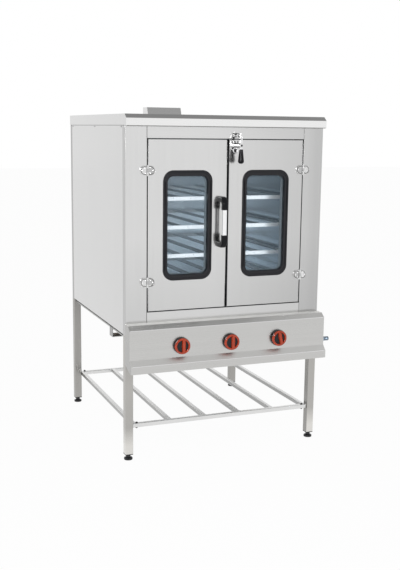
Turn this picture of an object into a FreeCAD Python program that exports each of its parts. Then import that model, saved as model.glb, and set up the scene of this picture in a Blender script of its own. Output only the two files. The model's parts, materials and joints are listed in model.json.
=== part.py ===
"""Two-door gas pastry oven on an open stand, as a parametric document of separate pieces.

Cabinet coordinates are used below: X to the right from the middle of the cabinet, Y to the back
from the face of the doors, Z up from the floor. Every piece is shifted in plan by the same amount,
so that the origin ends up at the bottom centre of the whole oven.
"""
import FreeCAD, Part
import math
import os

import Sketcher
from FreeCAD import Placement, Rotation, Vector

doc = FreeCAD.newDocument("pastry_oven")
sheet = doc.addObject("Spreadsheet::Sheet", "size")

# Driving dimensions in millimetres, in the order of the sheet's rows
SIZES = {
    # Cabinet shell
    "body_width": 1000,
    "body_depth": 1014,
    "shell_bottom": 605,
    "roof_top": 1613,
    "shell_sheet": 1.5,
    "bend_radius": 2.5,
    "post_width": 103.5,
    "post_side": 36.5,
    "jamb_depth": 55,
    "bottom_rail_height": 104,
    "top_rail_height": 105.5,
    "seam": 0.5,
    "panel_hem": 18,
    # Roof cover and flue
    "roof_overhang": 2,
    "roof_lip_reach": 26,
    "roof_lip_drop": 52,
    "roof_lip_height": 34,
    "roof_bevel_reach": 23,
    "roof_flange": 50,
    "flue_width": 196,
    "flue_setback": 42,
    "flue_depth_base": 92,
    "flue_depth_top": 72,
    "flue_height": 51,
    "duct_width": 170,
    "duct_depth": 36,
    "duct_back_gap": 4,
    # Chamber, insulation, runners and racks
    "mouth_side_step": 26.5,
    "mouth_end_step": 26,
    "back_insulation": 81.3,
    "chamber_sheet": 1.2,
    "chamber_flange": 50,
    "seal_width": 9.6,
    "seal_corner": 19.2,
    "seal_gap": 0.1,
    "floor_slot_length": 90,
    "floor_slot_width": 22,
    "floor_slot_pitch": 130,
    "rack_side_gap": 8,
    "rack_front": 100,
    "rack_back_gap": 30,
    "rack_bar_height": 18,
    "rack_bar_thick": 4,
    "rack_slat_width": 40,
    "rack_slat_thick": 3,
    "rack_first_rise": 90.5,
    "rack_pitch": 136,
    "runner_leg": 20,
    "runner_thick": 2,
    "runner_setback": 14,
    # Control panel and gas train
    "panel_overhang": 2,
    "panel_rise": 55,
    "ledge_reach": 45,
    "panel_face_reach": 70.5,
    "ledge_drop": 19.4,
    "face_height": 137.6,
    "lip_reach": 95,
    "lip_slope_drop": 25,
    "lip_height": 36,
    "panel_return": 16,
    "cap_back_rise": 28,
    "knob_pitch": 250,
    "knob_drop": 83.6,
    "knob_radius": 38,
    "knob_ring_inner": 28,
    "knob_ring_depth": 11.5,
    "knob_skirt_radius": 39,
    "knob_skirt_depth": 4.5,
    "knob_gap": 6,
    "knob_dish_depth": 5,
    "knob_round": 5,
    "knob_inner_round": 3,
    "knob_edge_round": 1,
    "knob_bar_left": 3,
    "knob_bar_right": 17,
    "knob_ridge_left": 1,
    "knob_ridge_right": 11,
    "knob_bar_lap": 2,
    "knob_bar_round": 2,
    "knob_bar_depth": 8.5,
    "knob_push": 4,
    "stem_radius": 4,
    "stem_hole_radius": 7,
    "running_clearance": 0.05,
    "fit_clearance": 0.3,
    "manifold_radius": 10.65,
    "manifold_wall": 2.6,
    "manifold_setback": 35.5,
    "manifold_drop": 34,
    "manifold_left_gap": 60,
    "valve_width": 30,
    "valve_depth": 34,
    "valve_height": 42,
    "bonnet_radius": 9,
    "bonnet_length": 10,
    "saddle_clearance": 0.1,
    "inlet_nut_flats": 27,
    "inlet_nut_length": 16,
    "inlet_thread_radius": 10.48,
    "inlet_length": 46,
    "burner_radius": 20,
    "burner_wall": 2,
    "burner_throat_radius": 13,
    "burner_bell_radius": 24,
    "burner_bell_length": 24,
    "burner_throat_at": 72,
    "burner_flare_at": 144,
    "burner_front": 62,
    "burner_back_gap": 38,
    "burner_slot_pitch": 26,
    "burner_slot_width": 4,
    "burner_slot_length": 13,
    "burner_slot_depth": 10,
    "feed_radius": 4,
    "feed_nut_radius": 8,
    "feed_nut_length": 8,
    "strap_drop": 60,
    "strap_thick": 3,
    "strap_width": 50,
    "strap_lap": 7,
    "strap_front": 243,
    "strap_tail": 10,
    # Stand
    "leg_size": 38,
    "leg_wall": 1.5,
    "tube_corner": 3,
    "leg_inset": 0,
    "leg_bottom": 30,
    "rail_size": 22,
    "rail_inset": 12,
    "plug_flange": 4,
    "plug_depth": 20,
    "plug_clearance": 0.2,
    "foot_pad_radius": 20.5,
    "foot_pad_height": 9,
    "foot_pad_round": 3,
    "foot_sole_round": 1.5,
    "foot_cone_height": 3,
    "foot_neck_radius": 11,
    "foot_stud_radius": 5,
    "shelf_bar": 20,
    "shelf_top": 175,
    "shelf_inset": 9,
    # Doors
    "door_gap": 4,
    "door_thickness": 44,
    "door_skin_depth": 22,
    "door_corner": 3,
    "door_edge_round": 1.5,
    "window_width": 242,
    "window_height": 510,
    "window_radius": 50,
    "gasket_side": 21,
    "gasket_end": 27,
    "gasket_proud": 5,
    "gasket_sleeve": 8,
    "gasket_round": 2.5,
    "glass_setback": 13,
    "glass_thick": 5,
    "glass_bite": 5,
    # Hinges
    "hinge_upper_drop": 140,
    "hinge_lower_rise": 137,
    "hinge_height": 46,
    "hinge_reach": 36,
    "hinge_plate": 2.5,
    "hinge_axis_reach": 5.5,
    "hinge_knuckle_radius": 5,
    "hinge_pin_radius": 3,
    "hinge_pin_head": 1.2,
    # Handle
    "handle_inset": 28,
    "handle_rise": 13.5,
    "handle_height": 240,
    "handle_reach": 46,
    "handle_bar_length": 118,
    "handle_bar_width": 22,
    "handle_bar_depth": 11,
    "handle_bar_round": 4.95,
    "elbow_width": 27,
    "elbow_depth": 27,
    "elbow_round": 7.2,
    "elbow_bend": 24,
    "elbow_socket": 14,
    # Latch
    "latch_inset": 39,
    "latch_drop": 26,
    "latch_plate_width": 34,
    "latch_plate_height": 58,
    "latch_plate_thick": 3,
    "latch_plate_corner": 8.5,
    "latch_boss_radius": 12,
    "latch_boss_reach": 30,
    "spindle_radius": 5,
    "lever_reach": 46,
    "lever_depth": 12,
    "lever_hub_radius": 11,
    "lever_arm_width": 11,
    "lever_tip_width": 8.8,
    "lever_up": 56,
    "finger_height": 18,
    "finger_gap": 0.8,
    "grip_drop": 17,
    "grip_length": 66,
    "grip_top_radius": 8.5,
    "grip_end_radius": 15.5,
    "grip_end_round": 12,
    "grip_top_round": 1.5,
    "grip_tang_radius": 4,
    "grip_tang_length": 24,
    "strike_width": 30,
    "strike_rise": 4,
    "strike_height": 27,
    "strike_reach": 30,
    "strike_corner": 5,
    "nose_width": 15,
    "nose_root": 6.75,
    "nose_chin": 13.5,
    "nose_top": 22.95,
    "nose_tip": 9,
    "nose_dip": 4,
}

for row, (alias, number) in enumerate(SIZES.items(), start=1):
    sheet.set(f"A{row}", alias)
    sheet.set(f"B{row}", str(number))
    sheet.setAlias(f"B{row}", alias)
doc.recompute()


class Length:
    """A number worked out from the sheet, kept together with the expression that gives it."""

    def __init__(self, text, number):
        self.text = text
        self.number = number

    def __add__(self, other):
        other = as_length(other)
        return Length(f"({self.text} + {other.text})", self.number + other.number)

    def __sub__(self, other):
        other = as_length(other)
        return Length(f"({self.text} - {other.text})", self.number - other.number)

    def __mul__(self, other):
        other = as_length(other)
        return Length(f"({self.text} * {other.text})", self.number * other.number)

    def __truediv__(self, other):
        other = as_length(other)
        return Length(f"({self.text} / {other.text})", self.number / other.number)

    def __neg__(self):
        return Length(f"(0 - {self.text})", -self.number)

    def __radd__(self, other):
        return as_length(other) + self

    def __rsub__(self, other):
        return as_length(other) - self

    def __rmul__(self, other):
        return as_length(other) * self


def as_length(value):
    """A plain number as a Length, or the Length itself."""
    if isinstance(value, Length):
        return value
    return Length(f"({value})", float(value))


class Sheet:
    """Reads the sheet's cells by their alias."""

    def __getattr__(self, alias):
        return Length(f"size.{alias}", float(sheet.get(alias)))


size = Sheet()

# Lengths that several pieces share, worked out from the sheet
half_width = size.body_width / 2
opening_half = half_width - size.post_width
shell_top = size.roof_top - size.shell_sheet
opening_bottom = size.shell_bottom + size.bottom_rail_height
opening_top = shell_top - size.top_rail_height
roof_half = half_width + size.roof_overhang
panel_half = half_width + size.panel_overhang
chamber_half = opening_half - size.mouth_side_step
chamber_outer = chamber_half + size.chamber_sheet
chamber_floor_z = opening_bottom + size.mouth_end_step
chamber_ceiling_z = opening_top - size.mouth_end_step
chamber_back = size.body_depth - size.shell_sheet - size.back_insulation - size.chamber_sheet
duct_back = chamber_back - size.duct_back_gap
rack_width = chamber_half * 2 - size.rack_side_gap * 2
rack_depth = chamber_back - size.rack_front - size.rack_back_gap
panel_top = size.shell_bottom + size.panel_rise
panel_face_top = panel_top - size.ledge_drop
panel_face_bottom = panel_face_top - size.face_height
panel_lip_top = panel_face_bottom - size.lip_slope_drop
panel_lip_bottom = panel_lip_top - size.lip_height
knob_z = panel_face_top - size.knob_drop
knob_back = -size.panel_face_reach - size.knob_gap
ring_back = knob_back - size.knob_skirt_depth
dish_front = ring_back - size.knob_dish_depth
knob_front = dish_front - size.knob_bar_depth
manifold_y = size.manifold_setback - size.panel_face_reach
manifold_z = knob_z - size.manifold_drop
valve_front = manifold_y - size.valve_depth / 2
valve_back = manifold_y + size.valve_depth / 2
inlet_tip = panel_half + size.inlet_length
strap_z = size.shell_bottom - size.strap_drop
burner_z = strap_z + size.strap_thick + size.burner_radius
burner_length = chamber_back - size.burner_front - size.burner_back_gap
leg_outer = half_width - size.leg_inset
leg_inner = leg_outer - size.leg_size
door_outer = opening_half - size.door_gap
door_inner = size.door_gap
door_middle = (door_outer + door_inner) / 2
door_bottom = opening_bottom + size.door_gap
door_top = opening_top - size.door_gap
door_centre_z = (door_bottom + door_top) / 2
hinge_x = opening_half - size.door_gap / 2
handle_x = -door_inner - size.handle_inset
handle_z = door_centre_z + size.handle_rise
latch_x = door_inner + size.latch_inset
latch_z = door_top - size.latch_drop
grip_top = latch_z - size.grip_drop
strike_bottom = opening_top + size.strike_rise
zero = as_length(0)

# Shift in plan from cabinet coordinates to the oven's own origin
shift_x = (roof_half - inlet_tip) / 2
shift_y = (size.lip_reach - size.body_depth - size.shell_sheet) / 2

UPRIGHT = Rotation()
TURNS = {
    "x": Rotation(Vector(0, 1, 0), 90),
    "y": Rotation(Vector(1, 0, 0), -90),
    "z": UPRIGHT,
}
AXIS_X, AXIS_Y, AXIS_Z = range(3)
NEAR = 0.01
nodes = []


def bind(piece, name, length):
    """Bind one property of a piece to the sheet."""
    piece.setExpression(name, as_length(length).text)


def move(piece, x=zero, y=zero, z=zero):
    """Bind a piece's place to cabinet coordinates."""
    bind(piece, "Placement.Base.x", x + shift_x)
    bind(piece, "Placement.Base.y", y + shift_y)
    bind(piece, "Placement.Base.z", z)


def block(name, x, y, z):
    """A box between two corners, each given as a pair of limits."""
    piece = doc.addObject("Part::Box", name)
    for side, (low, high) in zip(("Length", "Width", "Height"), (x, y, z)):
        bind(piece, side, high - low)
    move(piece, as_length(x[0]), as_length(y[0]), as_length(z[0]))
    return piece


def rod(name, axis, radius, start, length):
    """A round bar from a start point along one axis."""
    piece = doc.addObject("Part::Cylinder", name)
    piece.Placement = Placement(Vector(), TURNS[axis])
    bind(piece, "Radius", radius)
    bind(piece, "Height", length)
    move(piece, *[as_length(part) for part in start])
    return piece


def cut(name, base, *tools):
    """A base solid with tools taken away."""
    piece = doc.addObject("Part::Cut", name)
    piece.Base = base
    piece.Tool = tools[0] if len(tools) == 1 else fuse(f"{name}_tools", *tools)
    return piece


def fuse(name, *parts):
    """Several solids joined to one."""
    piece = doc.addObject("Part::MultiFuse", name)
    piece.Shapes = list(parts)
    piece.Refine = True
    return piece


def group(name, parts):
    """Like solids that share one node."""
    piece = doc.addObject("Part::Compound", name)
    piece.Links = list(parts)
    return piece


def node(label, piece):
    """Name a finished sub-part and keep it for writing."""
    piece.Label = label
    nodes.append(piece)
    return piece


def tube(name, x, y, z, wall, axis):
    """A square tube with round corners, open at both ends of its axis."""
    limits = {"x": x, "y": y, "z": z}
    start, end = limits.pop(axis)
    plane = {"x": "YZ_Plane", "y": "XZ_Plane", "z": "XY_Plane"}[axis]
    backward = axis == "y"
    (left, right), (low, high) = limits.values()
    piece = new_body(name)
    section = new_sketch(piece, f"{name}_section", plane, -start if backward else start)
    rounded_rectangle(section, (left, right), (low, high), size.tube_corner)
    rounded_rectangle(section, (left + wall, right - wall), (low + wall, high - wall),
                      size.tube_corner - wall)
    pad(piece, section, end - start, back=backward)
    return piece


def new_body(name, x=zero, y=zero, z=zero):
    """An empty body at a place in cabinet coordinates."""
    piece = doc.addObject("PartDesign::Body", name)
    move(piece, x, y, z)
    return piece


def new_sketch(body, name, plane, offset=zero):
    """A sketch on one of the body's own planes, moved along that plane's normal."""
    sketch = body.newObject("Sketcher::SketchObject", name)
    origin = [item for item in body.Origin.OriginFeatures if item.Role == plane][0]
    sketch.AttachmentSupport = [(origin, "")]
    sketch.MapMode = "FlatFace"
    bind(sketch, "AttachmentOffset.Base.z", offset)
    return sketch


def pin_point(sketch, geometry, position, across, up):
    """Fix a point of the sketch at coordinates from the sheet."""
    for kind, length in (("DistanceX", as_length(across)), ("DistanceY", as_length(up))):
        index = sketch.addConstraint(Sketcher.Constraint(kind, geometry, position, length.number))
        sketch.setExpression(f"Constraints[{index}]", length.text)


def polygon(sketch, points):
    """A closed outline of straight lines."""
    points = [(as_length(across), as_length(up)) for across, up in points]
    first = sketch.GeometryCount
    count = len(points)
    corners = [Vector(across.number, up.number, 0) for across, up in points]
    for index in range(count):
        sketch.addGeometry(Part.LineSegment(corners[index], corners[(index + 1) % count]))
    for index in range(count):
        following = first + (index + 1) % count
        sketch.addConstraint(Sketcher.Constraint("Coincident", first + index, 2, following, 1))
    for index, (across, up) in enumerate(points):
        pin_point(sketch, first + index, 1, across, up)


def rectangle(sketch, across, up):
    """A closed rectangle between two pairs of limits."""
    (left, right), (low, high) = across, up
    polygon(sketch, [(left, low), (right, low), (right, high), (left, high)])


def circle(sketch, across, up, radius):
    """A full circle."""
    across, up, radius = as_length(across), as_length(up), as_length(radius)
    centre = Vector(across.number, up.number, 0)
    index = sketch.addGeometry(Part.Circle(centre, Vector(0, 0, 1), radius.number))
    pin_point(sketch, index, 3, across, up)
    fixed = sketch.addConstraint(Sketcher.Constraint("Radius", index, radius.number))
    sketch.setExpression(f"Constraints[{fixed}]", radius.text)


def rounded_rectangle(sketch, across, up, radius):
    """A closed rectangle with round corners, tangent all the way round."""
    (left, right), (low, high) = across, up
    radius = as_length(radius)
    centres = [(left + radius, low + radius), (right - radius, low + radius),
               (right - radius, high - radius), (left + radius, high - radius)]
    first = sketch.GeometryCount
    corners = [Vector(x.number, y.number, 0) for x, y in centres]
    size_now = radius.number
    outward = [Vector(0, -1, 0), Vector(1, 0, 0), Vector(0, 1, 0), Vector(-1, 0, 0)]
    for index in range(4):
        push = outward[index] * size_now
        sketch.addGeometry(Part.LineSegment(corners[index] + push, corners[(index + 1) % 4] + push))
    for index in range(4):
        round_edge = Part.Circle(corners[index], Vector(0, 0, 1), size_now)
        start = math.pi + index * math.pi / 2
        sketch.addGeometry(Part.ArcOfCircle(round_edge, start, start + math.pi / 2))
    for index in range(4):
        arc = first + 4 + index
        before = first + (index + 3) % 4
        sketch.addConstraint(Sketcher.Constraint("Tangent", before, 2, arc, 1))
        sketch.addConstraint(Sketcher.Constraint("Tangent", arc, 2, first + index, 1))
    for index, (x, y) in enumerate(centres):
        pin_point(sketch, first + 4 + index, 3, x, y)
        fixed = sketch.addConstraint(Sketcher.Constraint("Radius", first + 4 + index, size_now))
        sketch.setExpression(f"Constraints[{fixed}]", radius.text)


def pad(body, sketch, length, back=False):
    """Add the sketch's outline to the body, along its normal or against it."""
    feature = body.newObject("PartDesign::Pad", f"{sketch.Name}_pad")
    feature.Profile = sketch
    feature.Reversed = back
    bind(feature, "Length", length)
    sketch.Visibility = False
    return feature


def pocket(body, sketch, length, forward=False):
    """Take the sketch's outline out of the body, against its normal or along it."""
    feature = body.newObject("PartDesign::Pocket", f"{sketch.Name}_pocket")
    feature.Profile = sketch
    feature.Reversed = forward
    bind(feature, "Length", length)
    return feature


def revolve(body, sketch, axis="V_Axis"):
    """Turn the sketch's outline once round one of its own axes."""
    feature = body.newObject("PartDesign::Revolution", f"{sketch.Name}_turn")
    feature.Profile = sketch
    feature.ReferenceAxis = (sketch, [axis])
    feature.Angle = 360
    return feature


def repeat(body, feature, sketch, axis, span, count):
    """A row of copies of one feature along an axis of its sketch."""
    pattern = body.newObject("PartDesign::LinearPattern", f"{feature.Name}_row")
    pattern.Originals = [feature]
    pattern.Direction = (sketch, [axis])
    bind(pattern, "Length", span)
    pattern.Occurrences = count
    body.Tip = pattern
    return pattern


def round_edges(body, feature, radius, chosen):
    """Round those edges of a feature that the test chooses."""
    doc.recompute()
    names = []
    for index, edge in enumerate(feature.Shape.Edges, start=1):
        if chosen(edge):
            names.append(f"Edge{index}")
    rounding = body.newObject("PartDesign::Fillet", f"{feature.Name}_round")
    rounding.Base = (feature, names)
    bind(rounding, "Radius", radius)
    return rounding


def along(axis, points):
    """A test for straight edges that run along one axis, through points of the section across it."""
    places = [(as_length(first).number, as_length(second).number) for first, second in points]

    def chosen(edge):
        box = edge.BoundBox
        spread = [box.XLength, box.YLength, box.ZLength]
        middle = list(box.Center)
        spread.pop(axis)
        middle.pop(axis)
        if max(spread) > NEAR:
            return False
        return any(math.dist(middle, place) < NEAR for place in places)

    return chosen


def bend(body, feature, axis, outer, inner=()):
    """Round the outside of a sheet's bends, and the inside of those that are given."""
    bent = round_edges(body, feature, size.bend_radius, along(axis, outer))
    if inner:
        bent = round_edges(body, bent, size.bend_radius - size.shell_sheet, along(axis, inner))
    return bent


def sheet_profile(body, name, plane, points, start, length):
    """A bent sheet: a closed outline of its section, drawn out along the plane's normal."""
    sketch = new_sketch(body, name, plane, start)
    polygon(sketch, points)
    return pad(body, sketch, length)


def sides():
    """The two sides of the cabinet, left first."""
    return (("left", -1), ("right", 1))


def between(first, second):
    """Two limits in rising order."""
    first, second = as_length(first), as_length(second)
    return (first, second) if first.number < second.number else (second, first)


def make_posts():
    """Front posts of U section and rear corner posts of L section."""
    wall = size.shell_sheet
    height = shell_top - size.shell_bottom
    fronts = []
    rears = []
    for name, side in sides():
        post = new_body(f"{name}_front_post")
        outer = half_width * side
        inner = opening_half * side
        folded = sheet_profile(post, f"{name}_post_section", "XY_Plane", [
            (outer, 0), (inner, 0), (inner, size.jamb_depth), (inner + wall * side, size.jamb_depth),
            (inner + wall * side, wall), (outer - wall * side, wall),
            (outer - wall * side, size.post_side), (outer, size.post_side)], size.shell_bottom, height)
        bend(post, folded, AXIS_Z, [(outer, 0), (inner, 0)],
             [(inner + wall * side, wall), (outer - wall * side, wall)])
        fronts.append(post)
        rear = new_body(f"{name}_rear_post")
        back = size.body_depth
        rear_inner = outer - size.post_side * side
        folded = sheet_profile(rear, f"{name}_rear_section", "XY_Plane", [
            (outer, back), (rear_inner, back), (rear_inner, back - wall), (outer - wall * side, back - wall),
            (outer - wall * side, back - size.post_side), (outer, back - size.post_side)],
            size.shell_bottom, height)
        bend(rear, folded, AXIS_Z, [(outer, back)], [(outer - wall * side, back - wall)])
        rears.append(rear)
    node("front_posts", group("front_posts", fronts))
    node("rear_posts", group("rear_posts", rears))


def make_front_rails():
    """Rails above and below the doors, each with a return that forms the jamb."""
    wall = size.shell_sheet
    rails = []
    for name, free, edge, inward in (("top", shell_top, opening_top, 1),
                                     ("bottom", size.shell_bottom, opening_bottom, -1)):
        rail = new_body(f"{name}_front_rail")
        folded = sheet_profile(rail, f"{name}_rail_section", "YZ_Plane", [
            (0, free), (0, edge), (size.jamb_depth, edge), (size.jamb_depth, edge + wall * inward),
            (wall, edge + wall * inward), (wall, free)], -opening_half, opening_half * 2)
        bend(rail, folded, AXIS_X, [(0, edge)], [(wall, edge + wall * inward)])
        rails.append(rail)
    node("front_rails", group("front_rails", rails))


def make_outer_panels():
    """Side panels and back panel, with hems turned in along their lower edge."""
    wall = size.shell_sheet
    front = size.post_side + size.seam
    run = size.body_depth - front * 2
    panels = []
    for name, side in sides():
        outer = half_width * side
        panel = new_body(f"{name}_side_panel")
        sketch = new_sketch(panel, f"{name}_side_section", "XZ_Plane", -front)
        polygon(sketch, [
            (outer, size.shell_bottom), (outer, shell_top), (outer - wall * side, shell_top),
            (outer - wall * side, size.shell_bottom + wall),
            (outer - size.panel_hem * side, size.shell_bottom + wall),
            (outer - size.panel_hem * side, size.shell_bottom)])
        folded = pad(panel, sketch, run, back=True)
        round_edges(panel, folded, size.bend_radius, along(AXIS_Y, [(outer, size.shell_bottom)]))
        panels.append(panel)
    node("side_panels", group("side_panels", panels))
    back_half = half_width - front
    back = size.body_depth
    panel = new_body("back_panel")
    folded = sheet_profile(panel, "back_section", "YZ_Plane", [
        (back, size.shell_bottom), (back, shell_top), (back - wall, shell_top),
        (back - wall, size.shell_bottom + wall), (back - size.panel_hem, size.shell_bottom + wall),
        (back - size.panel_hem, size.shell_bottom)], -back_half, back_half * 2)
    bend(panel, folded, AXIS_X, [(back, size.shell_bottom)])
    node("back_panel", panel)


def make_roof():
    """Roof tray: bevelled lip in front, flanges over the sides and the back."""
    wall = size.shell_sheet
    top = size.roof_top
    lip_front = -size.roof_lip_reach
    bevel_back = lip_front + size.roof_bevel_reach
    lip_bottom = top - size.roof_lip_drop
    lip_top = lip_bottom + size.roof_lip_height
    rear = size.body_depth + wall
    flange_low = top - size.roof_flange
    roof = new_body("roof_cover")
    sheet_profile(roof, "roof_section", "YZ_Plane", [
        (rear, flange_low), (rear, top), (bevel_back, top), (lip_front, lip_top),
        (lip_front, lip_bottom), (-wall, lip_bottom),
        (-wall, lip_bottom + wall), (lip_front + wall, lip_bottom + wall),
        (lip_front + wall, lip_top - wall / 2), (bevel_back + wall / 2, top - wall),
        (rear - wall, top - wall), (rear - wall, flange_low)], -roof_half, roof_half * 2)
    for name, start in (("left", -roof_half), ("right", roof_half - wall)):
        closed = sheet_profile(roof, f"roof_{name}_flange", "YZ_Plane", [
            (rear, flange_low), (rear, top), (bevel_back, top), (lip_front, lip_top),
            (lip_front, lip_bottom), (-wall, lip_bottom), (-wall, flange_low)],
            start, wall)
    bend(roof, closed, AXIS_X, [(bevel_back, top), (lip_front, lip_top), (lip_front, lip_bottom)])
    hole = new_sketch(roof, "roof_flue_hole", "XY_Plane", top)
    duct_half = size.duct_width / 2
    rectangle(hole, (-duct_half, duct_half), (duct_back - size.duct_depth, duct_back))
    pocket(roof, hole, wall * 2)
    node("roof_cover", roof)


def make_flue():
    """Flue outlet: a low hood with a leaning front, open at the top, on a duct from the chamber."""
    wall = size.shell_sheet
    base = size.roof_top
    top = base + size.flue_height
    back = size.body_depth - size.flue_setback
    half = size.flue_width / 2
    front_low = back - size.flue_depth_base
    front_high = back - size.flue_depth_top
    lean = (front_high - front_low) / size.flue_height
    flue = new_body("flue_outlet")
    sheet_profile(flue, "hood_outline", "YZ_Plane", [
        (front_low, base), (back, base), (back, top), (front_high, top)], -half, half * 2)
    inside = new_sketch(flue, "hood_inside", "YZ_Plane", -half + wall)
    polygon(inside, [
        (front_low + wall * (lean + 1), base + wall), (back - wall, base + wall),
        (back - wall, top + wall), (front_high + wall * (lean + 1), top + wall)])
    pocket(flue, inside, half * 2 - wall * 2, forward=True)
    duct_half = size.duct_width / 2
    duct_low = chamber_ceiling_z
    ring = new_sketch(flue, "duct_ring", "XY_Plane", duct_low)
    rectangle(ring, (-duct_half, duct_half), (duct_back - size.duct_depth, duct_back))
    pad(flue, ring, base - duct_low + wall)
    bore = new_sketch(flue, "duct_bore", "XY_Plane", duct_low)
    rectangle(bore, (-duct_half + wall, duct_half - wall),
              (duct_back - size.duct_depth + wall, duct_back - wall))
    pocket(flue, bore, base - duct_low + wall * 2, forward=True)
    node("flue_outlet", flue)


def make_chamber():
    """Oven chamber of bent plates, with flanges that meet the jambs in front."""
    wall = size.chamber_sheet
    front = size.jamb_depth
    low, high = chamber_floor_z, chamber_ceiling_z
    walls = []
    for name, side in sides():
        inner = chamber_half * side
        plate = new_body(f"chamber_{name}_wall")
        sheet_profile(plate, f"chamber_{name}_section", "XY_Plane", [
            (inner, front), (inner + size.chamber_flange * side, front),
            (inner + size.chamber_flange * side, front + wall), (inner + wall * side, front + wall),
            (inner + wall * side, chamber_back), (inner, chamber_back)], low, high - low)
        walls.append(plate)
    node("chamber_side_walls", group("chamber_side_walls", walls))
    node("chamber_back_wall", block("chamber_back_wall", (-chamber_outer, chamber_outer),
                                    (chamber_back, chamber_back + wall), (low, high)))
    run = chamber_back + wall
    ceiling = new_body("chamber_ceiling")
    sheet_profile(ceiling, "ceiling_section", "YZ_Plane", [
        (front, high), (run, high), (run, high + wall), (front + wall, high + wall),
        (front + wall, high + size.chamber_flange), (front, high + size.chamber_flange)],
        -chamber_outer, chamber_outer * 2)
    hole = new_sketch(ceiling, "ceiling_flue_hole", "XY_Plane", high + wall)
    duct_half = size.duct_width / 2
    rectangle(hole, (-duct_half, duct_half), (duct_back - size.duct_depth, duct_back))
    pocket(ceiling, hole, wall * 2)
    node("chamber_ceiling", ceiling)
    floor = new_body("chamber_floor")
    sheet_profile(floor, "floor_section", "YZ_Plane", [
        (front, low), (run, low), (run, low - wall), (front + wall, low - wall),
        (front + wall, low - size.chamber_flange), (front, low - size.chamber_flange)],
        -chamber_outer, chamber_outer * 2)
    slots = new_sketch(floor, "floor_slots", "XY_Plane", low)
    first = front + size.floor_slot_length
    for name, side in sides():
        edge = (chamber_half - size.floor_slot_width) * side
        rectangle(slots, between(edge, edge - size.floor_slot_width * side),
                  (first, first + size.floor_slot_length))
    opened = pocket(floor, slots, wall * 2)
    room = chamber_back - first - size.floor_slot_length * 2
    count = max(int(room.number / SIZES["floor_slot_pitch"]), 1) + 1
    repeat(floor, opened, slots, "V_Axis", size.floor_slot_pitch * (count - 1), count)
    node("chamber_floor", floor)


def make_insulation():
    """Insulation slabs between the chamber and the shell."""
    wall = size.shell_sheet
    front = size.jamb_depth + size.chamber_sheet
    low, high = chamber_floor_z, chamber_ceiling_z
    behind = chamber_back + size.chamber_sheet
    above = high + size.chamber_sheet
    slabs = []
    for name, side in sides():
        across = between(chamber_outer * side, (half_width - wall) * side)
        slabs.append(block(f"{name}_insulation", across, (front, behind), (low, high)))
    slabs.append(block("back_insulation", (-chamber_outer, chamber_outer),
                       (behind, size.body_depth - wall), (low, high)))
    lid = block("top_insulation_slab", (-chamber_outer, chamber_outer),
                (front, size.body_depth - wall), (above, opening_top + size.jamb_depth))
    duct_half = size.duct_width / 2
    hole = block("top_insulation_hole", (-duct_half, duct_half),
                 (duct_back - size.duct_depth, duct_back), (above, shell_top))
    slabs.append(cut("top_insulation", lid, hole))
    node("insulation", group("insulation", slabs))


def make_seal():
    """Heat seal round the chamber mouth, just clear of the closed doors."""
    middle = (chamber_half + opening_half) / 2
    low = (chamber_floor_z + opening_bottom) / 2
    high = (chamber_ceiling_z + opening_top) / 2
    half = size.seal_width / 2
    front = size.jamb_depth - size.seal_width - size.seal_gap
    seal = new_body("door_seal")
    ring = new_sketch(seal, "seal_ring", "XZ_Plane", -front)
    rounded_rectangle(ring, (-middle - half, middle + half), (low - half, high + half), size.seal_corner)
    rounded_rectangle(ring, (-middle + half, middle - half), (low + half, high - half),
                      size.seal_corner - size.seal_width)
    pad(seal, ring, size.seal_width, back=True)
    node("door_seal", seal)


RACK_COUNT = 4
SLAT_COUNT = 6


def make_racks():
    """Racks with a tall bar in front and behind, slats between, and the runners that carry them."""
    half = rack_width / 2
    back = size.rack_front + rack_depth
    runners = []
    for index in range(RACK_COUNT):
        top = chamber_floor_z + size.rack_first_rise + size.rack_pitch * index
        seat = top - size.rack_slat_thick
        rack = new_body(f"rack_{index + 1}")
        for name, start in (("front", size.rack_front), ("back", back - size.rack_bar_thick)):
            bar = new_sketch(rack, f"rack_{index + 1}_{name}", "XZ_Plane", -start)
            rectangle(bar, (-half, half), (top - size.rack_bar_height, top))
            pad(rack, bar, size.rack_bar_thick, back=True)
        slat = new_sketch(rack, f"rack_{index + 1}_slat", "XY_Plane", seat)
        rectangle(slat, (-half, -half + size.rack_slat_width),
                  (size.rack_front + size.rack_bar_thick / 2, back - size.rack_bar_thick / 2))
        first = pad(rack, slat, size.rack_slat_thick)
        repeat(rack, first, slat, "H_Axis", rack_width - size.rack_slat_width, SLAT_COUNT)
        node(f"rack_{index + 1}", rack)
        for name, side in sides():
            edge = chamber_half * side
            leg = size.runner_leg * side
            thick = size.runner_thick * side
            runner = new_body(f"{name}_runner_{index + 1}")
            front = size.rack_front + size.runner_setback
            section = new_sketch(runner, f"{name}_runner_section_{index + 1}", "XZ_Plane", -front)
            polygon(section, [
                (edge, seat), (edge, seat - size.runner_leg), (edge - thick, seat - size.runner_leg),
                (edge - thick, seat - size.runner_thick), (edge - leg, seat - size.runner_thick),
                (edge - leg, seat)])
            pad(runner, section, rack_depth - size.runner_setback * 2, back=True)
            runners.append(runner)
    node("rack_runners", group("rack_runners", runners))


# Degrees that each pointer stands off upright while the gas is off
POINTER_TURNS = {1: 0, 2: 0, 3: -12}


def knob_places():
    """Knob numbers with their places across the panel."""
    return [(index + 1, size.knob_pitch * (index - 1)) for index in range(3)]


def panel_outline():
    """Outer points of the control panel's section, from the ledge down to the lip."""
    return [(zero, panel_top), (-size.ledge_reach, panel_top),
            (-size.panel_face_reach, panel_face_top),
            (-size.panel_face_reach, panel_face_bottom),
            (-size.lip_reach, panel_lip_top), (-size.lip_reach, panel_lip_bottom)]


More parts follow.
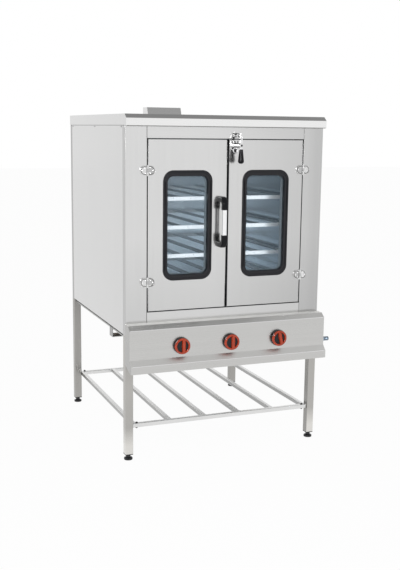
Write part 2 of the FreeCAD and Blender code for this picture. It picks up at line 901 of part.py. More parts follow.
def make_control_panel():
    """Control panel bent from one sheet, with stem holes, and its two end caps."""
    wall = size.shell_sheet
    half = panel_half - wall
    back_low = panel_top - size.panel_return
    low_back = -size.lip_reach + size.panel_return
    panel = new_body("control_panel")
    inner = [
        (low_back, panel_lip_bottom), (low_back, panel_lip_bottom + wall),
        (-size.lip_reach + wall, panel_lip_bottom + wall), (-size.lip_reach + wall, panel_lip_top + wall / 2),
        (-size.panel_face_reach + wall, panel_face_bottom + wall / 2),
        (-size.panel_face_reach + wall, panel_face_top - wall / 2),
        (-size.ledge_reach + wall / 2, panel_top - wall), (-wall, panel_top - wall),
        (-wall, back_low), (zero, back_low)]
    folded = sheet_profile(panel, "panel_section", "YZ_Plane", panel_outline() + inner, -half, half * 2)
    bend(panel, folded, AXIS_X, panel_outline()[1:])
    holes = new_sketch(panel, "stem_holes", "XZ_Plane", size.panel_face_reach + wall)
    for number, place in knob_places():
        circle(holes, place, knob_z, size.stem_hole_radius)
    pocket(panel, holes, wall * 4)
    node("control_panel", panel)
    caps = []
    for name, side in sides():
        cap = new_body(f"{name}_panel_cap")
        start = -panel_half if side < 0 else half
        closing = [(low_back, panel_lip_bottom), (zero, panel_lip_bottom + size.cap_back_rise)]
        plate = sheet_profile(cap, f"{name}_cap_outline", "YZ_Plane", panel_outline() + closing, start, wall)
        bend(cap, plate, AXIS_X, panel_outline()[1:])
        if side > 0:
            hole = new_sketch(cap, "inlet_hole", "YZ_Plane", panel_half)
            circle(hole, manifold_y, manifold_z, size.manifold_radius + size.fit_clearance)
            pocket(cap, hole, wall * 2)
        caps.append(cap)
    node("panel_end_caps", group("panel_end_caps", caps))


def make_gas_train():
    """Manifold tube with its inlet, the valves on it, the feed tubes and the burners."""
    left = -panel_half + size.manifold_left_gap
    run = panel_half - left
    place = (left, manifold_y, manifold_z)
    pipe = rod("manifold_pipe", "x", size.manifold_radius, place, run)
    plug_end = (left + size.manifold_wall, manifold_y, manifold_z)
    bore = rod("manifold_bore", "x", size.manifold_radius - size.manifold_wall, plug_end, run)
    node("gas_manifold", cut("gas_manifold", pipe, bore))
    make_inlet()
    valves = []
    feeds = []
    for number, across in knob_places():
        valves.append(make_valve(number, across))
        feeds.append(make_feed(number, across))
    node("gas_valves", group("gas_valves", valves))
    node("burner_feeds", group("burner_feeds", feeds))
    node("burner_tubes", group("burner_tubes", [make_burner(number, across)
                                                for number, across in knob_places()]))


def make_inlet():
    """Inlet fitting on the end of the manifold: hexagon nut and a threaded spigot with a bore."""
    inlet = new_body("gas_inlet", panel_half, manifold_y, manifold_z)
    nut = new_sketch(inlet, "inlet_nut", "YZ_Plane")
    corner = size.inlet_nut_flats / math.sqrt(3)
    points = []
    for index in range(6):
        angle = math.radians(60 * index)
        points.append((corner * round(math.cos(angle), 9), corner * round(math.sin(angle), 9)))
    polygon(nut, points)
    pad(inlet, nut, size.inlet_nut_length)
    spigot = new_sketch(inlet, "inlet_spigot", "YZ_Plane")
    circle(spigot, 0, 0, size.inlet_thread_radius)
    pad(inlet, spigot, size.inlet_length)
    bore = new_sketch(inlet, "inlet_bore", "YZ_Plane")
    circle(bore, 0, 0, size.manifold_radius - size.manifold_wall)
    pocket(inlet, bore, size.inlet_length, forward=True)
    node("gas_inlet", inlet)


def make_valve(number, across):
    """Gas valve: a block on a saddle, a round bonnet in front and a bore for the stem."""
    half = size.valve_width / 2
    low = manifold_z
    high = manifold_z + size.manifold_radius + size.valve_height
    solid = block(f"valve_block_{number}", (across - half, across + half),
                  (valve_front, valve_back), (low, high))
    bonnet_end = valve_front - size.bonnet_length
    bonnet = rod(f"valve_bonnet_{number}", "y", size.bonnet_radius, (across, bonnet_end, knob_z),
                 size.bonnet_length + half)
    saddle = rod(f"valve_saddle_{number}", "x", size.manifold_radius + size.saddle_clearance,
                 (across - half, manifold_y, manifold_z), size.valve_width)
    stem_room = rod(f"valve_bore_{number}", "y", size.stem_radius + size.running_clearance,
                    (across, bonnet_end, knob_z), size.bonnet_length + half)
    joined = fuse(f"valve_solid_{number}", solid, bonnet)
    return cut(f"gas_valve_{number}", joined, saddle, stem_room)


def make_feed(number, across):
    """Feed tube from a valve to its burner, with a union nut at each end."""
    start = valve_back
    end = size.burner_front
    nut, long = size.feed_nut_radius, size.feed_nut_length
    pipe = rod(f"feed_pipe_{number}", "y", size.feed_radius, (across, start, burner_z), end - start)
    near = rod(f"feed_near_nut_{number}", "y", nut, (across, start, burner_z), long)
    far = rod(f"feed_far_nut_{number}", "y", nut, (across, end - long, burner_z), long)
    return fuse(f"burner_feed_{number}", pipe, near, far)


def make_burner(number, across):
    """Tube burner: injector plate, bell mouth, throat, then a straight tube with a row of slots."""
    wall = size.burner_wall
    outer = size.burner_radius
    throat = size.burner_throat_radius
    bell = size.burner_bell_radius
    run = burner_length
    mouth = size.burner_bell_length
    throat_at = size.burner_throat_at
    flare_at = size.burner_flare_at
    burner = new_body(f"burner_tube_{number}", across, size.burner_front, burner_z)
    section = new_sketch(burner, f"burner_section_{number}", "XY_Plane")
    polygon(section, [
        (zero, zero), (bell, zero), (bell, mouth), (throat, throat_at), (outer, flare_at), (outer, run),
        (zero, run), (zero, run - wall), (outer - wall, run - wall), (outer - wall, flare_at),
        (throat - wall, throat_at), (bell - wall, mouth), (bell - wall, wall), (zero, wall)])
    revolve(burner, section)
    slot = new_sketch(burner, f"burner_slot_{number}", "XY_Plane", outer)
    half = size.burner_slot_width / 2
    reach = size.burner_slot_length / 2
    first = flare_at + size.burner_slot_pitch
    rectangle(slot, (-reach, reach), (first - half, first + half))
    opened = pocket(burner, slot, size.burner_slot_depth)
    room = run - first - size.burner_slot_pitch
    count = max(int(room.number / SIZES["burner_slot_pitch"]), 1) + 1
    repeat(burner, opened, slot, "V_Axis", size.burner_slot_pitch * (count - 1), count)
    return burner


def make_knobs():
    """Valve stems and the knobs on them: red ring with a pointer bar, black core behind."""
    hub_end = ring_back - size.knob_dish_depth / 2
    for number, across in knob_places():
        stem_start = hub_end + size.running_clearance
        stem_end = valve_front + size.valve_width / 2 - size.knob_push - size.fit_clearance
        stem = rod(f"valve_stem_{number}", "y", size.stem_radius, (across, stem_start, knob_z),
                   stem_end - stem_start)
        node(f"valve_stem_{number}", stem)
        core = new_body(f"knob_core_{number}", across, zero, knob_z)
        section = new_sketch(core, f"core_section_{number}", "XY_Plane")
        bore = size.stem_radius + size.running_clearance
        dish = size.knob_ring_inner - size.saddle_clearance
        polygon(section, [
            (bore, knob_back), (size.knob_skirt_radius, knob_back), (size.knob_skirt_radius, ring_back),
            (dish, ring_back), (dish, dish_front), (zero, dish_front), (zero, hub_end), (bore, hub_end)])
        revolve(core, section)
        node(f"knob_core_{number}", core)
        knob = new_body(f"knob_{number}", across, zero, knob_z)
        knob.Placement.Rotation = Rotation(Vector(0, 1, 0), POINTER_TURNS[number])
        ring = new_sketch(knob, f"ring_section_{number}", "XY_Plane")
        ring_front = ring_back - size.knob_ring_depth
        polygon(ring, [
            (size.knob_ring_inner, ring_back), (size.knob_radius, ring_back),
            (size.knob_radius, ring_front), (size.knob_ring_inner, ring_front)])
        turned = revolve(knob, ring)
        turned = round_edges(knob, turned, size.knob_round, rim(size.knob_radius, ring_front))
        turned = round_edges(knob, turned, size.knob_inner_round, rim(size.knob_ring_inner, ring_front))
        round_edges(knob, turned, size.knob_edge_round, rim(size.knob_radius, ring_back))
        make_pointer(knob, number)
        node(f"knob_{number}", knob)


def rim(radius, y):
    """A test for a full circle about the Y axis, by its radius and its place along the axis."""
    radius, y = as_length(radius).number, as_length(y).number

    def chosen(edge):
        box = edge.BoundBox
        return box.YLength < NEAR and abs(box.YMin - y) < NEAR and abs(box.XMax - radius) < NEAR

    return chosen


def make_pointer(knob, number):
    """Pointer bar across the knob's dish: a steep left flank, a rounded ridge and a sloped right flank."""
    reach = size.knob_ring_inner + size.knob_bar_lap
    ridge = [(size.knob_ridge_right, knob_front), (-size.knob_ridge_left, knob_front)]
    bar = new_sketch(knob, f"pointer_section_{number}", "XY_Plane", -reach)
    polygon(bar, [(-size.knob_bar_left, dish_front), (size.knob_bar_right, dish_front)] + ridge)
    raised = pad(knob, bar, reach * 2)
    round_edges(knob, raised, size.knob_bar_round, along(AXIS_Z, ridge))


def make_straps_and_rails():
    """Strap and carrier that hold the burners under the shell, and the rails that tie the legs."""
    thick = size.strap_thick
    rail_out = half_width - size.rail_inset
    rail_in = rail_out - size.rail_size
    rail_z = (size.shell_bottom - size.rail_size, size.shell_bottom)
    rear_rail = size.body_depth - size.shelf_inset - size.rail_size
    low = strap_z
    high = rail_z[0] + size.strap_lap
    strap_half = rail_out + thick
    strap = new_body("burner_strap")
    section = new_sketch(strap, "strap_section", "XZ_Plane", -size.strap_front)
    polygon(section, [
        (-strap_half, low), (strap_half, low), (strap_half, high), (rail_out, high),
        (rail_out, low + thick), (-rail_out, low + thick), (-rail_out, high), (-strap_half, high)])
    pad(strap, section, size.strap_width, back=True)
    tail = size.burner_front + burner_length - size.strap_tail - size.strap_width
    carrier_half = size.knob_pitch + size.burner_radius
    carrier = new_body("burner_carrier")
    section = new_sketch(carrier, "carrier_section", "YZ_Plane", -carrier_half)
    polygon(section, [
        (tail, low), (rear_rail, low), (rear_rail, high), (rear_rail - thick, high),
        (rear_rail - thick, low + thick), (tail, low + thick)])
    pad(carrier, section, carrier_half * 2)
    node("burner_straps", group("burner_straps", [strap, carrier]))
    rails = []
    run = (size.leg_size, size.body_depth - size.leg_size)
    for name, side in sides():
        rails.append(tube(f"{name}_base_rail", between(rail_in * side, rail_out * side), run, rail_z,
                          size.leg_wall, "y"))
    for name, front in (("front", size.shelf_inset), ("rear", rear_rail)):
        rails.append(tube(f"{name}_base_rail", (-leg_inner, leg_inner), (front, front + size.rail_size),
                          rail_z, size.leg_wall, "x"))
    node("base_rails", group("base_rails", rails))


def corners():
    """Leg numbers with their sides and the front face of each leg."""
    rear = size.body_depth - size.leg_size
    return [(1, -1, zero), (2, 1, zero), (3, -1, rear), (4, 1, rear)]


def make_stand():
    """Square legs, their plugs, the levelling feet, and the low shelf of square bars."""
    legs = []
    plugs = []
    middle = leg_outer - size.leg_size / 2
    for number, side, front in corners():
        across = between(leg_inner * side, leg_outer * side)
        depth = (front, front + size.leg_size)
        legs.append(tube(f"leg_{number}", across, depth, (size.leg_bottom, size.shell_bottom),
                         size.leg_wall, "z"))
        plugs.append(make_plug(number, middle * side, front + size.leg_size / 2))
        make_foot(number, middle * side, front + size.leg_size / 2)
    node("legs", group("legs", legs))
    node("leg_plugs", group("leg_plugs", plugs))
    make_shelf()


def make_plug(number, x, y):
    """Square plug in the foot of a leg, with a flange under the tube and a bore for the stud."""
    plug = new_body(f"leg_plug_{number}", x, y)
    half = size.leg_size / 2
    inner = half - size.leg_wall - size.plug_clearance
    corner = size.tube_corner - size.leg_wall - size.plug_clearance
    flange = new_sketch(plug, f"plug_flange_{number}", "XY_Plane", size.leg_bottom - size.plug_flange)
    rounded_rectangle(flange, (-half, half), (-half, half), size.tube_corner)
    pad(plug, flange, size.plug_flange)
    spigot = new_sketch(plug, f"plug_spigot_{number}", "XY_Plane", size.leg_bottom)
    rounded_rectangle(spigot, (-inner, inner), (-inner, inner), corner)
    pad(plug, spigot, size.plug_depth)
    bore = new_sketch(plug, f"plug_bore_{number}", "XY_Plane", size.leg_bottom - size.plug_flange)
    circle(bore, 0, 0, size.foot_stud_radius + size.running_clearance)
    pocket(plug, bore, size.plug_flange + size.plug_depth, forward=True)
    return plug


def make_foot(number, x, y):
    """Levelling foot: round pad, waisted neck and a stud in the plug."""
    foot = new_body(f"foot_{number}", x, y)
    section = new_sketch(foot, f"foot_section_{number}", "XZ_Plane")
    pad_radius = size.foot_pad_radius
    pad_height = size.foot_pad_height
    neck = size.foot_neck_radius
    neck_top = size.leg_bottom - size.plug_flange - size.fit_clearance
    stud_top = size.leg_bottom + size.plug_depth - size.fit_clearance
    polygon(section, [
        (zero, zero), (pad_radius, zero), (pad_radius, pad_height),
        (neck, pad_height + size.foot_cone_height), (neck, neck_top),
        (size.foot_stud_radius, neck_top), (size.foot_stud_radius, stud_top), (zero, stud_top)])
    turned = revolve(foot, section)
    turned = round_edges(foot, turned, size.foot_pad_round, level_rim(pad_radius, pad_height))
    round_edges(foot, turned, size.foot_sole_round, level_rim(pad_radius, zero))
    node(f"foot_{number}", foot)


def level_rim(radius, z):
    """A test for a full circle about the Z axis, by its radius and its height."""
    radius, z = as_length(radius).number, as_length(z).number

    def chosen(edge):
        box = edge.BoundBox
        return box.ZLength < NEAR and abs(box.ZMin - z) < NEAR and abs(box.XMax - radius) < NEAR

    return chosen


SHELF_BARS = 6


def make_shelf():
    """Low shelf: a front and a rear bar between the legs, and bars from front to back."""
    top = size.shelf_top
    tall = (top - size.shelf_bar, top)
    front = size.shelf_inset
    rear = size.body_depth - size.shelf_inset - size.shelf_bar
    bars = []
    for name, start in (("front", front), ("rear", rear)):
        bars.append(tube(f"shelf_{name}_bar", (-leg_inner, leg_inner), (start, start + size.shelf_bar),
                         tall, size.leg_wall, "x"))
    reach = leg_inner - size.shelf_bar / 2
    for index in range(SHELF_BARS):
        middle = reach * (2 * index / (SHELF_BARS - 1) - 1)
        bars.append(tube(f"shelf_bar_{index + 1}", (middle - size.shelf_bar / 2, middle + size.shelf_bar / 2),
                         (front + size.shelf_bar, rear), tall, size.leg_wall, "y"))
    node("shelf_bars", group("shelf_bars", bars))


def door_limits(side):
    """Limits of a door across and up."""
    return between(door_inner * side, door_outer * side), (door_bottom, door_top)


def window_limits(side, inset_side, inset_end):
    """Limits of the window's outline, drawn in by an amount at the sides and at the ends."""
    middle = door_middle * side
    half = size.window_width / 2 - inset_side
    tall = size.window_height / 2 - inset_end
    return (middle - half, middle + half), (door_centre_z - tall, door_centre_z + tall)


def window_opening(sketch, side, inset_side, inset_end):
    """The window's outline in a sketch, with its corner radius drawn in as well."""
    across, up = window_limits(side, inset_side, inset_end)
    rounded_rectangle(sketch, across, up, size.window_radius - inset_side)


def make_doors():
    """Both doors: outer panel, liner, window gasket and glass."""
    for name, side in sides():
        make_door_tray(f"{name}_door_panel", side, zero, size.door_skin_depth, True)
        make_door_tray(f"{name}_door_liner", side, size.door_skin_depth, size.door_thickness, False)
        make_window(name, side)


def make_door_tray(label, side, front, back, opens_back):
    """One half of a door: a sheet with its edges turned, and the window cut out of it."""
    wall = size.shell_sheet
    across, up = door_limits(side)
    tray = new_body(label)
    outline = new_sketch(tray, f"{label}_outline", "XZ_Plane", -front)
    rounded_rectangle(outline, across, up, size.door_corner)
    blank = pad(tray, outline, back - front, back=True)
    face = back if opens_back else front
    shown = front if opens_back else back
    round_edges(tray, blank, size.door_edge_round, in_plane(shown))
    hollow = new_sketch(tray, f"{label}_hollow", "XZ_Plane", -face)
    rounded_rectangle(hollow, (across[0] + wall, across[1] - wall), (up[0] + wall, up[1] - wall),
                      size.door_corner - wall)
    pocket(tray, hollow, back - front - wall, forward=opens_back)
    window = new_sketch(tray, f"{label}_window", "XZ_Plane", -front)
    sleeve_side = size.gasket_side - size.gasket_sleeve
    sleeve_end = size.gasket_end - size.gasket_sleeve
    window_opening(window, side, sleeve_side, sleeve_end)
    pocket(tray, window, back - front)
    node(label, tray)


def in_plane(y):
    """A test for edges that lie in one plane across the Y axis."""
    y = as_length(y).number

    def chosen(edge):
        box = edge.BoundBox
        return abs(box.YMin - y) < NEAR and abs(box.YMax - y) < NEAR

    return chosen


def make_window(name, side):
    """Window gasket with a groove round the glass, and the pane in it."""
    gasket = new_body(f"{name}_window_gasket")
    proud = size.gasket_proud
    flange = new_sketch(gasket, f"{name}_gasket_flange", "XZ_Plane")
    window_opening(flange, side, zero, zero)
    window_opening(flange, side, size.gasket_side, size.gasket_end)
    pad(gasket, flange, proud)
    sleeve = new_sketch(gasket, f"{name}_gasket_sleeve", "XZ_Plane")
    window_opening(sleeve, side, size.gasket_side - size.gasket_sleeve, size.gasket_end - size.gasket_sleeve)
    window_opening(sleeve, side, size.gasket_side, size.gasket_end)
    pad(gasket, sleeve, size.door_thickness, back=True)
    groove = new_sketch(gasket, f"{name}_glass_groove", "XZ_Plane", -size.glass_setback)
    window_opening(groove, side, size.gasket_side - size.glass_bite, size.gasket_end - size.glass_bite)
    seated = pocket(gasket, groove, size.glass_thick)
    round_edges(gasket, seated, size.gasket_round, in_plane(-proud))
    node(f"{name}_window_gasket", gasket)
    glass = new_body(f"{name}_window_glass")
    pane = new_sketch(glass, f"{name}_pane", "XZ_Plane", -size.glass_setback)
    window_opening(pane, side, size.gasket_side - size.glass_bite, size.gasket_end - size.glass_bite)
    pad(glass, pane, size.glass_thick, back=True)
    node(f"{name}_window_glass", glass)


def hinge_places():
    """Names and heights of the hinges on each side."""
    return (("upper", door_top - size.hinge_upper_drop), ("lower", door_bottom + size.hinge_lower_rise))


def make_hinges():
    """Butterfly hinges: a round-lobed leaf on the post and one on the door, with a pin between."""
    third = size.hinge_height / 3
    frame_halves = []
    for name, side in sides():
        door_leaves = []
        for level, middle in hinge_places():
            tag = f"{name}_{level}"
            low = middle - size.hinge_height / 2
            outer_knuckles = [(low, third - size.fit_clearance),
                              (low + third * 2 + size.fit_clearance, third - size.fit_clearance)]
            inner_knuckle = [(low + third, third)]
            frame_halves.append(make_leaf(f"{tag}_frame_leaf", side, side, middle, outer_knuckles,
                                          inner_knuckle, zero))
            door_leaves.append(make_leaf(f"{tag}_door_leaf", side, -side, middle, inner_knuckle,
                                         outer_knuckles, size.running_clearance))
            frame_halves.append(make_hinge_pin(tag, side, low))
        node(f"{name}_hinge_leaves", group(f"{name}_hinge_leaves", door_leaves))
    node("hinge_frame_halves", group("hinge_frame_halves", frame_halves))


def make_leaf(name, side, points_to, middle, knuckles, notches, clearance):
    """One leaf: a round lobe on the face, knuckles round the pin, notches for the other leaf."""
    axis_x = hinge_x * side
    axis_y = -size.hinge_axis_reach
    lobe_radius = size.hinge_height / 2
    lobe_x = axis_x + (size.hinge_reach - lobe_radius) * points_to
    edge = axis_x + (size.door_gap / 2) * points_to
    plate = rod(f"{name}_lobe", "y", lobe_radius, (lobe_x, -size.hinge_plate, middle), size.hinge_plate)
    neck = block(f"{name}_neck", between(axis_x, lobe_x), (-size.hinge_plate, zero),
                 (middle - lobe_radius, middle + lobe_radius))
    half_space = block(f"{name}_half", between(edge - size.hinge_reach * points_to, edge),
                       (-size.hinge_plate, zero), (middle - lobe_radius, middle + lobe_radius))
    trimmed = cut(f"{name}_plate", fuse(f"{name}_blank", plate, neck), half_space)
    solids = [trimmed]
    taken = []
    tab = between(axis_x, edge + size.hinge_knuckle_radius * points_to)
    tab_depth = (-size.hinge_plate, -size.fit_clearance)
    bore = size.hinge_pin_radius + clearance
    for index, (low, tall) in enumerate(knuckles):
        place = (axis_x, axis_y, low)
        solids.append(rod(f"{name}_knuckle_{index}", "z", size.hinge_knuckle_radius, place, tall))
        solids.append(block(f"{name}_tab_{index}", tab, tab_depth, (low, low + tall)))
        taken.append(rod(f"{name}_bore_{index}", "z", bore, place, tall))
    reach = size.hinge_knuckle_radius + size.fit_clearance * 2
    for index, (low, tall) in enumerate(notches):
        place = (axis_x, axis_y, low - size.fit_clearance)
        taken.append(rod(f"{name}_notch_{index}", "z", reach, place, tall + size.fit_clearance * 2))
    return cut(name, fuse(f"{name}_solid", *solids), *taken)


def make_hinge_pin(tag, side, low):
    """Hinge pin with a low head at each end."""
    head = size.hinge_pin_head
    place = (hinge_x * side, -size.hinge_axis_reach)
    shank = rod(f"{tag}_shank", "z", size.hinge_pin_radius, (*place, low), size.hinge_height)
    caps = []
    for index, start in enumerate((low - head, low + size.hinge_height)):
        caps.append(rod(f"{tag}_pin_head_{index}", "z", size.hinge_pin_radius + head, (*place, start), head))
    return fuse(f"{tag}_pin", shank, *caps)


def make_handle():
    """Pull handle: a flat bar held by two elbows that curve back to the door."""
    half_bar = size.handle_bar_length / 2 + size.elbow_socket
    bar = new_body("handle_bar", handle_x, -size.handle_reach)
    section = new_sketch(bar, "bar_section", "XY_Plane", handle_z - half_bar)
    across = size.handle_bar_width / 2
    deep = size.handle_bar_depth / 2
    rounded_rectangle(section, (-across, across), (-deep, deep), size.handle_bar_round)
    pad(bar, section, half_bar * 2)
    node("handle_bar", bar)
    elbows = [make_elbow(name, way) for name, way in (("upper", 1), ("lower", -1))]
    node("handle_elbows", group("handle_elbows", elbows))


def make_elbow(name, way):
    """Elbow swept along a quarter bend from the bar's end to the door's face."""
    start = handle_z + size.handle_bar_length / 2 * way
    level = handle_z + (size.handle_height / 2 - size.elbow_depth / 2) * way
    bend = size.elbow_bend
    reach = -size.handle_reach
    elbow = new_body(f"{name}_elbow", handle_x)
    path = new_sketch(elbow, f"{name}_elbow_path", "YZ_Plane")
    corner = Vector(reach.number + bend.number, level.number - bend.number * way, 0)
    low = path.addGeometry(Part.LineSegment(Vector(reach.number, start.number, 0),
                                            Vector(reach.number, corner.y, 0)))
    ends = (90, 180) if way > 0 else (180, 270)
    curve = Part.Circle(corner, Vector(0, 0, 1), bend.number)
    arc = path.addGeometry(Part.ArcOfCircle(curve, math.radians(ends[0]), math.radians(ends[1])))
    out = path.addGeometry(Part.LineSegment(Vector(corner.x, level.number, 0), Vector(0, level.number, 0)))
    near, far = (2, 1) if way > 0 else (1, 2)
    path.addConstraint(Sketcher.Constraint("Tangent", low, 2, arc, near))
    path.addConstraint(Sketcher.Constraint("Tangent", arc, far, out, 1))
    pin_point(path, low, 1, reach, start)
    pin_point(path, arc, 3, reach + bend, level - bend * way)
    pin_point(path, out, 2, zero, level)
    fixed = path.addConstraint(Sketcher.Constraint("Radius", arc, bend.number))
    path.setExpression(f"Constraints[{fixed}]", bend.text)
    section = new_sketch(elbow, f"{name}_elbow_section", "XY_Plane", start)
    across = size.elbow_width / 2
    deep = size.elbow_depth / 2
    rounded_rectangle(section, (-across, across), (reach - deep, reach + deep), size.elbow_round)
    sweep = elbow.newObject("PartDesign::AdditivePipe", f"{name}_elbow_sweep")
    sweep.Profile = section
    sweep.Spine = (path, ["Edge1", "Edge2", "Edge3"])
    socket = new_sketch(elbow, f"{name}_elbow_socket", "XY_Plane", start)
    room = size.plug_clearance
    across = size.handle_bar_width / 2 + room
    deep = size.handle_bar_depth / 2 + room
    rounded_rectangle(socket, (-across, across), (reach - deep, reach + deep), size.handle_bar_round + room)
    pocket(elbow, socket, size.elbow_socket + room, forward=way > 0)
    return elbow


def make_latch():
    """Turn latch: base plate with a spindle, lever on it, grip below, strike on the top rail."""
    x, z = latch_x, latch_z
    half = size.latch_plate_width / 2
    spindle_end = size.lever_reach + size.lever_depth
    base = new_body("latch_base", x, zero, z)
    plate = new_sketch(base, "latch_plate", "XZ_Plane")
    low = door_top - z - size.latch_plate_height
    rounded_rectangle(plate, (-half, half), (low, low + size.latch_plate_height), size.latch_plate_corner)
    pad(base, plate, size.latch_plate_thick)
    boss = new_sketch(base, "latch_boss", "XZ_Plane")
    circle(boss, 0, 0, size.latch_boss_radius)
    pad(base, boss, size.latch_boss_reach)
    spindle = new_sketch(base, "latch_spindle", "XZ_Plane")
    circle(spindle, 0, 0, size.spindle_radius)
    pad(base, spindle, spindle_end)
    node("latch_base", base)
    lever = new_body("latch_lever", x, zero, z)
    hub_back = size.latch_boss_reach + size.fit_clearance
    hub = new_sketch(lever, "lever_hub", "XZ_Plane", hub_back)
    circle(hub, 0, 0, size.lever_hub_radius)
    pad(lever, hub, spindle_end - hub_back)
    arm_half = size.lever_arm_width / 2
    tip_half = size.lever_tip_width / 2
    arm = new_sketch(lever, "lever_arm", "XZ_Plane", size.lever_reach)
    polygon(arm, [
        (-arm_half, grip_top - z), (arm_half, grip_top - z), (tip_half, size.lever_up),
        (-tip_half, size.lever_up)])
    pad(lever, arm, size.lever_depth)
    finger = new_sketch(lever, "lever_finger", "XZ_Plane", size.strike_reach + size.finger_gap)
    rectangle(finger, (-tip_half, tip_half), (size.lever_up - size.finger_height, size.lever_up))
    pad(lever, finger, size.lever_reach + size.lever_depth / 2 - size.strike_reach - size.finger_gap)
    tang = new_sketch(lever, "lever_tang", "XY_Plane", grip_top - z)
    tang_y = -size.lever_reach - size.lever_depth / 2
    circle(tang, 0, tang_y, size.grip_tang_radius)
    pad(lever, tang, size.grip_tang_length, back=True)
    bore = new_sketch(lever, "lever_bore", "XZ_Plane", hub_back)
    circle(bore, 0, 0, size.spindle_radius + size.running_clearance)
    pocket(lever, bore, spindle_end, forward=True)
    node("latch_lever", lever)
    make_grip(x, tang_y)
    make_strike()


def make_grip(x, y):
    """Tapered grip with a round end, on the lever's tang."""
    end = -size.grip_length
    wide = size.grip_end_radius
    neck = size.grip_top_radius
    tang = size.grip_tang_radius
    grip = new_body("latch_grip", x, y, grip_top)
    section = new_sketch(grip, "grip_section", "XZ_Plane")
    polygon(section, [
        (tang, zero), (neck, zero), (wide, end), (zero, end), (zero, -size.grip_tang_length),
        (tang, -size.grip_tang_length)])
    turned = revolve(grip, section)
    turned = round_edges(grip, turned, size.grip_end_round, level_rim(wide, end))
    round_edges(grip, turned, size.grip_top_round, level_rim(neck, zero))
    node("latch_grip", grip)


def make_strike():
    """Strike on the top rail: a plate and a hooked nose that faces the lever's finger."""
    half = size.strike_width / 2
    strike = new_body("latch_strike", latch_x, zero, strike_bottom)
    plate = new_sketch(strike, "strike_plate", "XZ_Plane")
    rounded_rectangle(plate, (-half, half), (zero, size.strike_height), size.strike_corner)
    pad(strike, plate, size.latch_plate_thick)
    nose = new_sketch(strike, "strike_nose", "YZ_Plane", -size.nose_width / 2)
    reach = -size.strike_reach
    hook = reach + size.nose_tip
    polygon(nose, [
        (zero, size.nose_root), (reach, size.nose_chin), (reach, size.nose_top), (hook, size.nose_top),
        (hook + size.nose_dip, size.nose_top - size.nose_dip), (zero, size.nose_top)])
    pad(strike, nose, size.nose_width)
    node("latch_strike", strike)


def check():
    """Stop before writing if any object failed or any sub-part is not a sound solid."""
    for item in doc.Objects:
        if "Invalid" in item.State or "Error" in item.State:
            raise RuntimeError(f"{item.Label} failed to build: {item.State}")
    for piece in nodes:
        shape = piece.Shape
        if shape.isNull() or not shape.isValid() or not shape.Solids:
            raise RuntimeError(f"{piece.Label} is not a sound solid")


def write():
    """Write each sub-part to its own file."""
    os.makedirs("parts", exist_ok=True)
    for piece in nodes:
        piece.Shape.exportStep(f"parts/{piece.Label}.step")
        box = piece.Shape.BoundBox
        limits = (box.XMin, box.XMax, box.YMin, box.YMax, box.ZMin, box.ZMax)
        told = " ".join(f"{value:.1f}" for value in limits)
        print(f"{piece.Label}: {len(piece.Shape.Solids)} solids, {piece.Shape.Volume:.0f} mm3, {told}")


make_posts()
make_front_rails()
make_outer_panels()
make_roof()
make_flue()
make_chamber()
make_insulation()
make_seal()
make_racks()
make_control_panel()
make_gas_train()
make_knobs()
make_straps_and_rails()
make_stand()
make_doors()
make_hinges()
make_handle()
make_latch()
doc.recompute()
check()
write()
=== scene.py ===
"""Looks of a two-door gas pastry oven: finishes for every part, small hardware, and a plain studio."""
import json
import math

import bmesh
import bpy
from bpy.props import FloatProperty, FloatVectorProperty, IntProperty, PointerProperty
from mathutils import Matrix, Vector


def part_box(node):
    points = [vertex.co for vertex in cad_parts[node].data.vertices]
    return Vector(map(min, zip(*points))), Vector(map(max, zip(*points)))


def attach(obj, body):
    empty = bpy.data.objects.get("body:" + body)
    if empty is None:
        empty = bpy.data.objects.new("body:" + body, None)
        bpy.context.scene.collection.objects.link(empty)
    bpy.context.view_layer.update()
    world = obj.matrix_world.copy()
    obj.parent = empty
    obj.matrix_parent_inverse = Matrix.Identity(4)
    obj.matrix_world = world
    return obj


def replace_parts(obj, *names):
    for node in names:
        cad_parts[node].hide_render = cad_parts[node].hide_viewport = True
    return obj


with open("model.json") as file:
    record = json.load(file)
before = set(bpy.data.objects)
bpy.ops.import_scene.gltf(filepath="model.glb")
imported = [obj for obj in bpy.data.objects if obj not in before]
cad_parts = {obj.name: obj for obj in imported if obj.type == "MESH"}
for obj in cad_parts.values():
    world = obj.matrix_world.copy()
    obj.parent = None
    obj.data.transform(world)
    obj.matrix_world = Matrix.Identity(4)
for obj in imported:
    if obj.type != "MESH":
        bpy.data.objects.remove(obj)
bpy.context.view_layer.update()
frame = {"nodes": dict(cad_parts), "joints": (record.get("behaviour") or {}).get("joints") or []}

bl_info = {
    "name": "Pastry oven looks",
    "version": (1, 0, 0),
    "blender": (4, 5, 0),
    "location": "View3D > Sidebar > Oven",
    "description": "Finishes, hardware and studio for a two-door gas pastry oven",
    "category": "Object",
}

MM = 0.001
SIDES = {"left": -1, "right": 1}
LEFT = Vector((-1, 0, 0))
RIGHT = Vector((1, 0, 0))
FRONT = Vector((0, -1, 0))
BACK = Vector((0, 1, 0))
UP = Vector((0, 0, 1))
DOWN = Vector((0, 0, -1))


def colour_property(name, description, default):
    """A colour that a user may change."""
    return FloatVectorProperty(name=name, description=description, default=default, subtype="COLOR",
                               size=3, min=0, max=1)


def length_property(name, description, millimetres):
    """A length that a user may change."""
    return FloatProperty(name=name, description=description, default=millimetres * MM, unit="LENGTH", min=0,
                         precision=5)


def number_property(name, description, default, **limits):
    """Any other number that a user may change."""
    return FloatProperty(name=name, description=description, default=default, **limits)


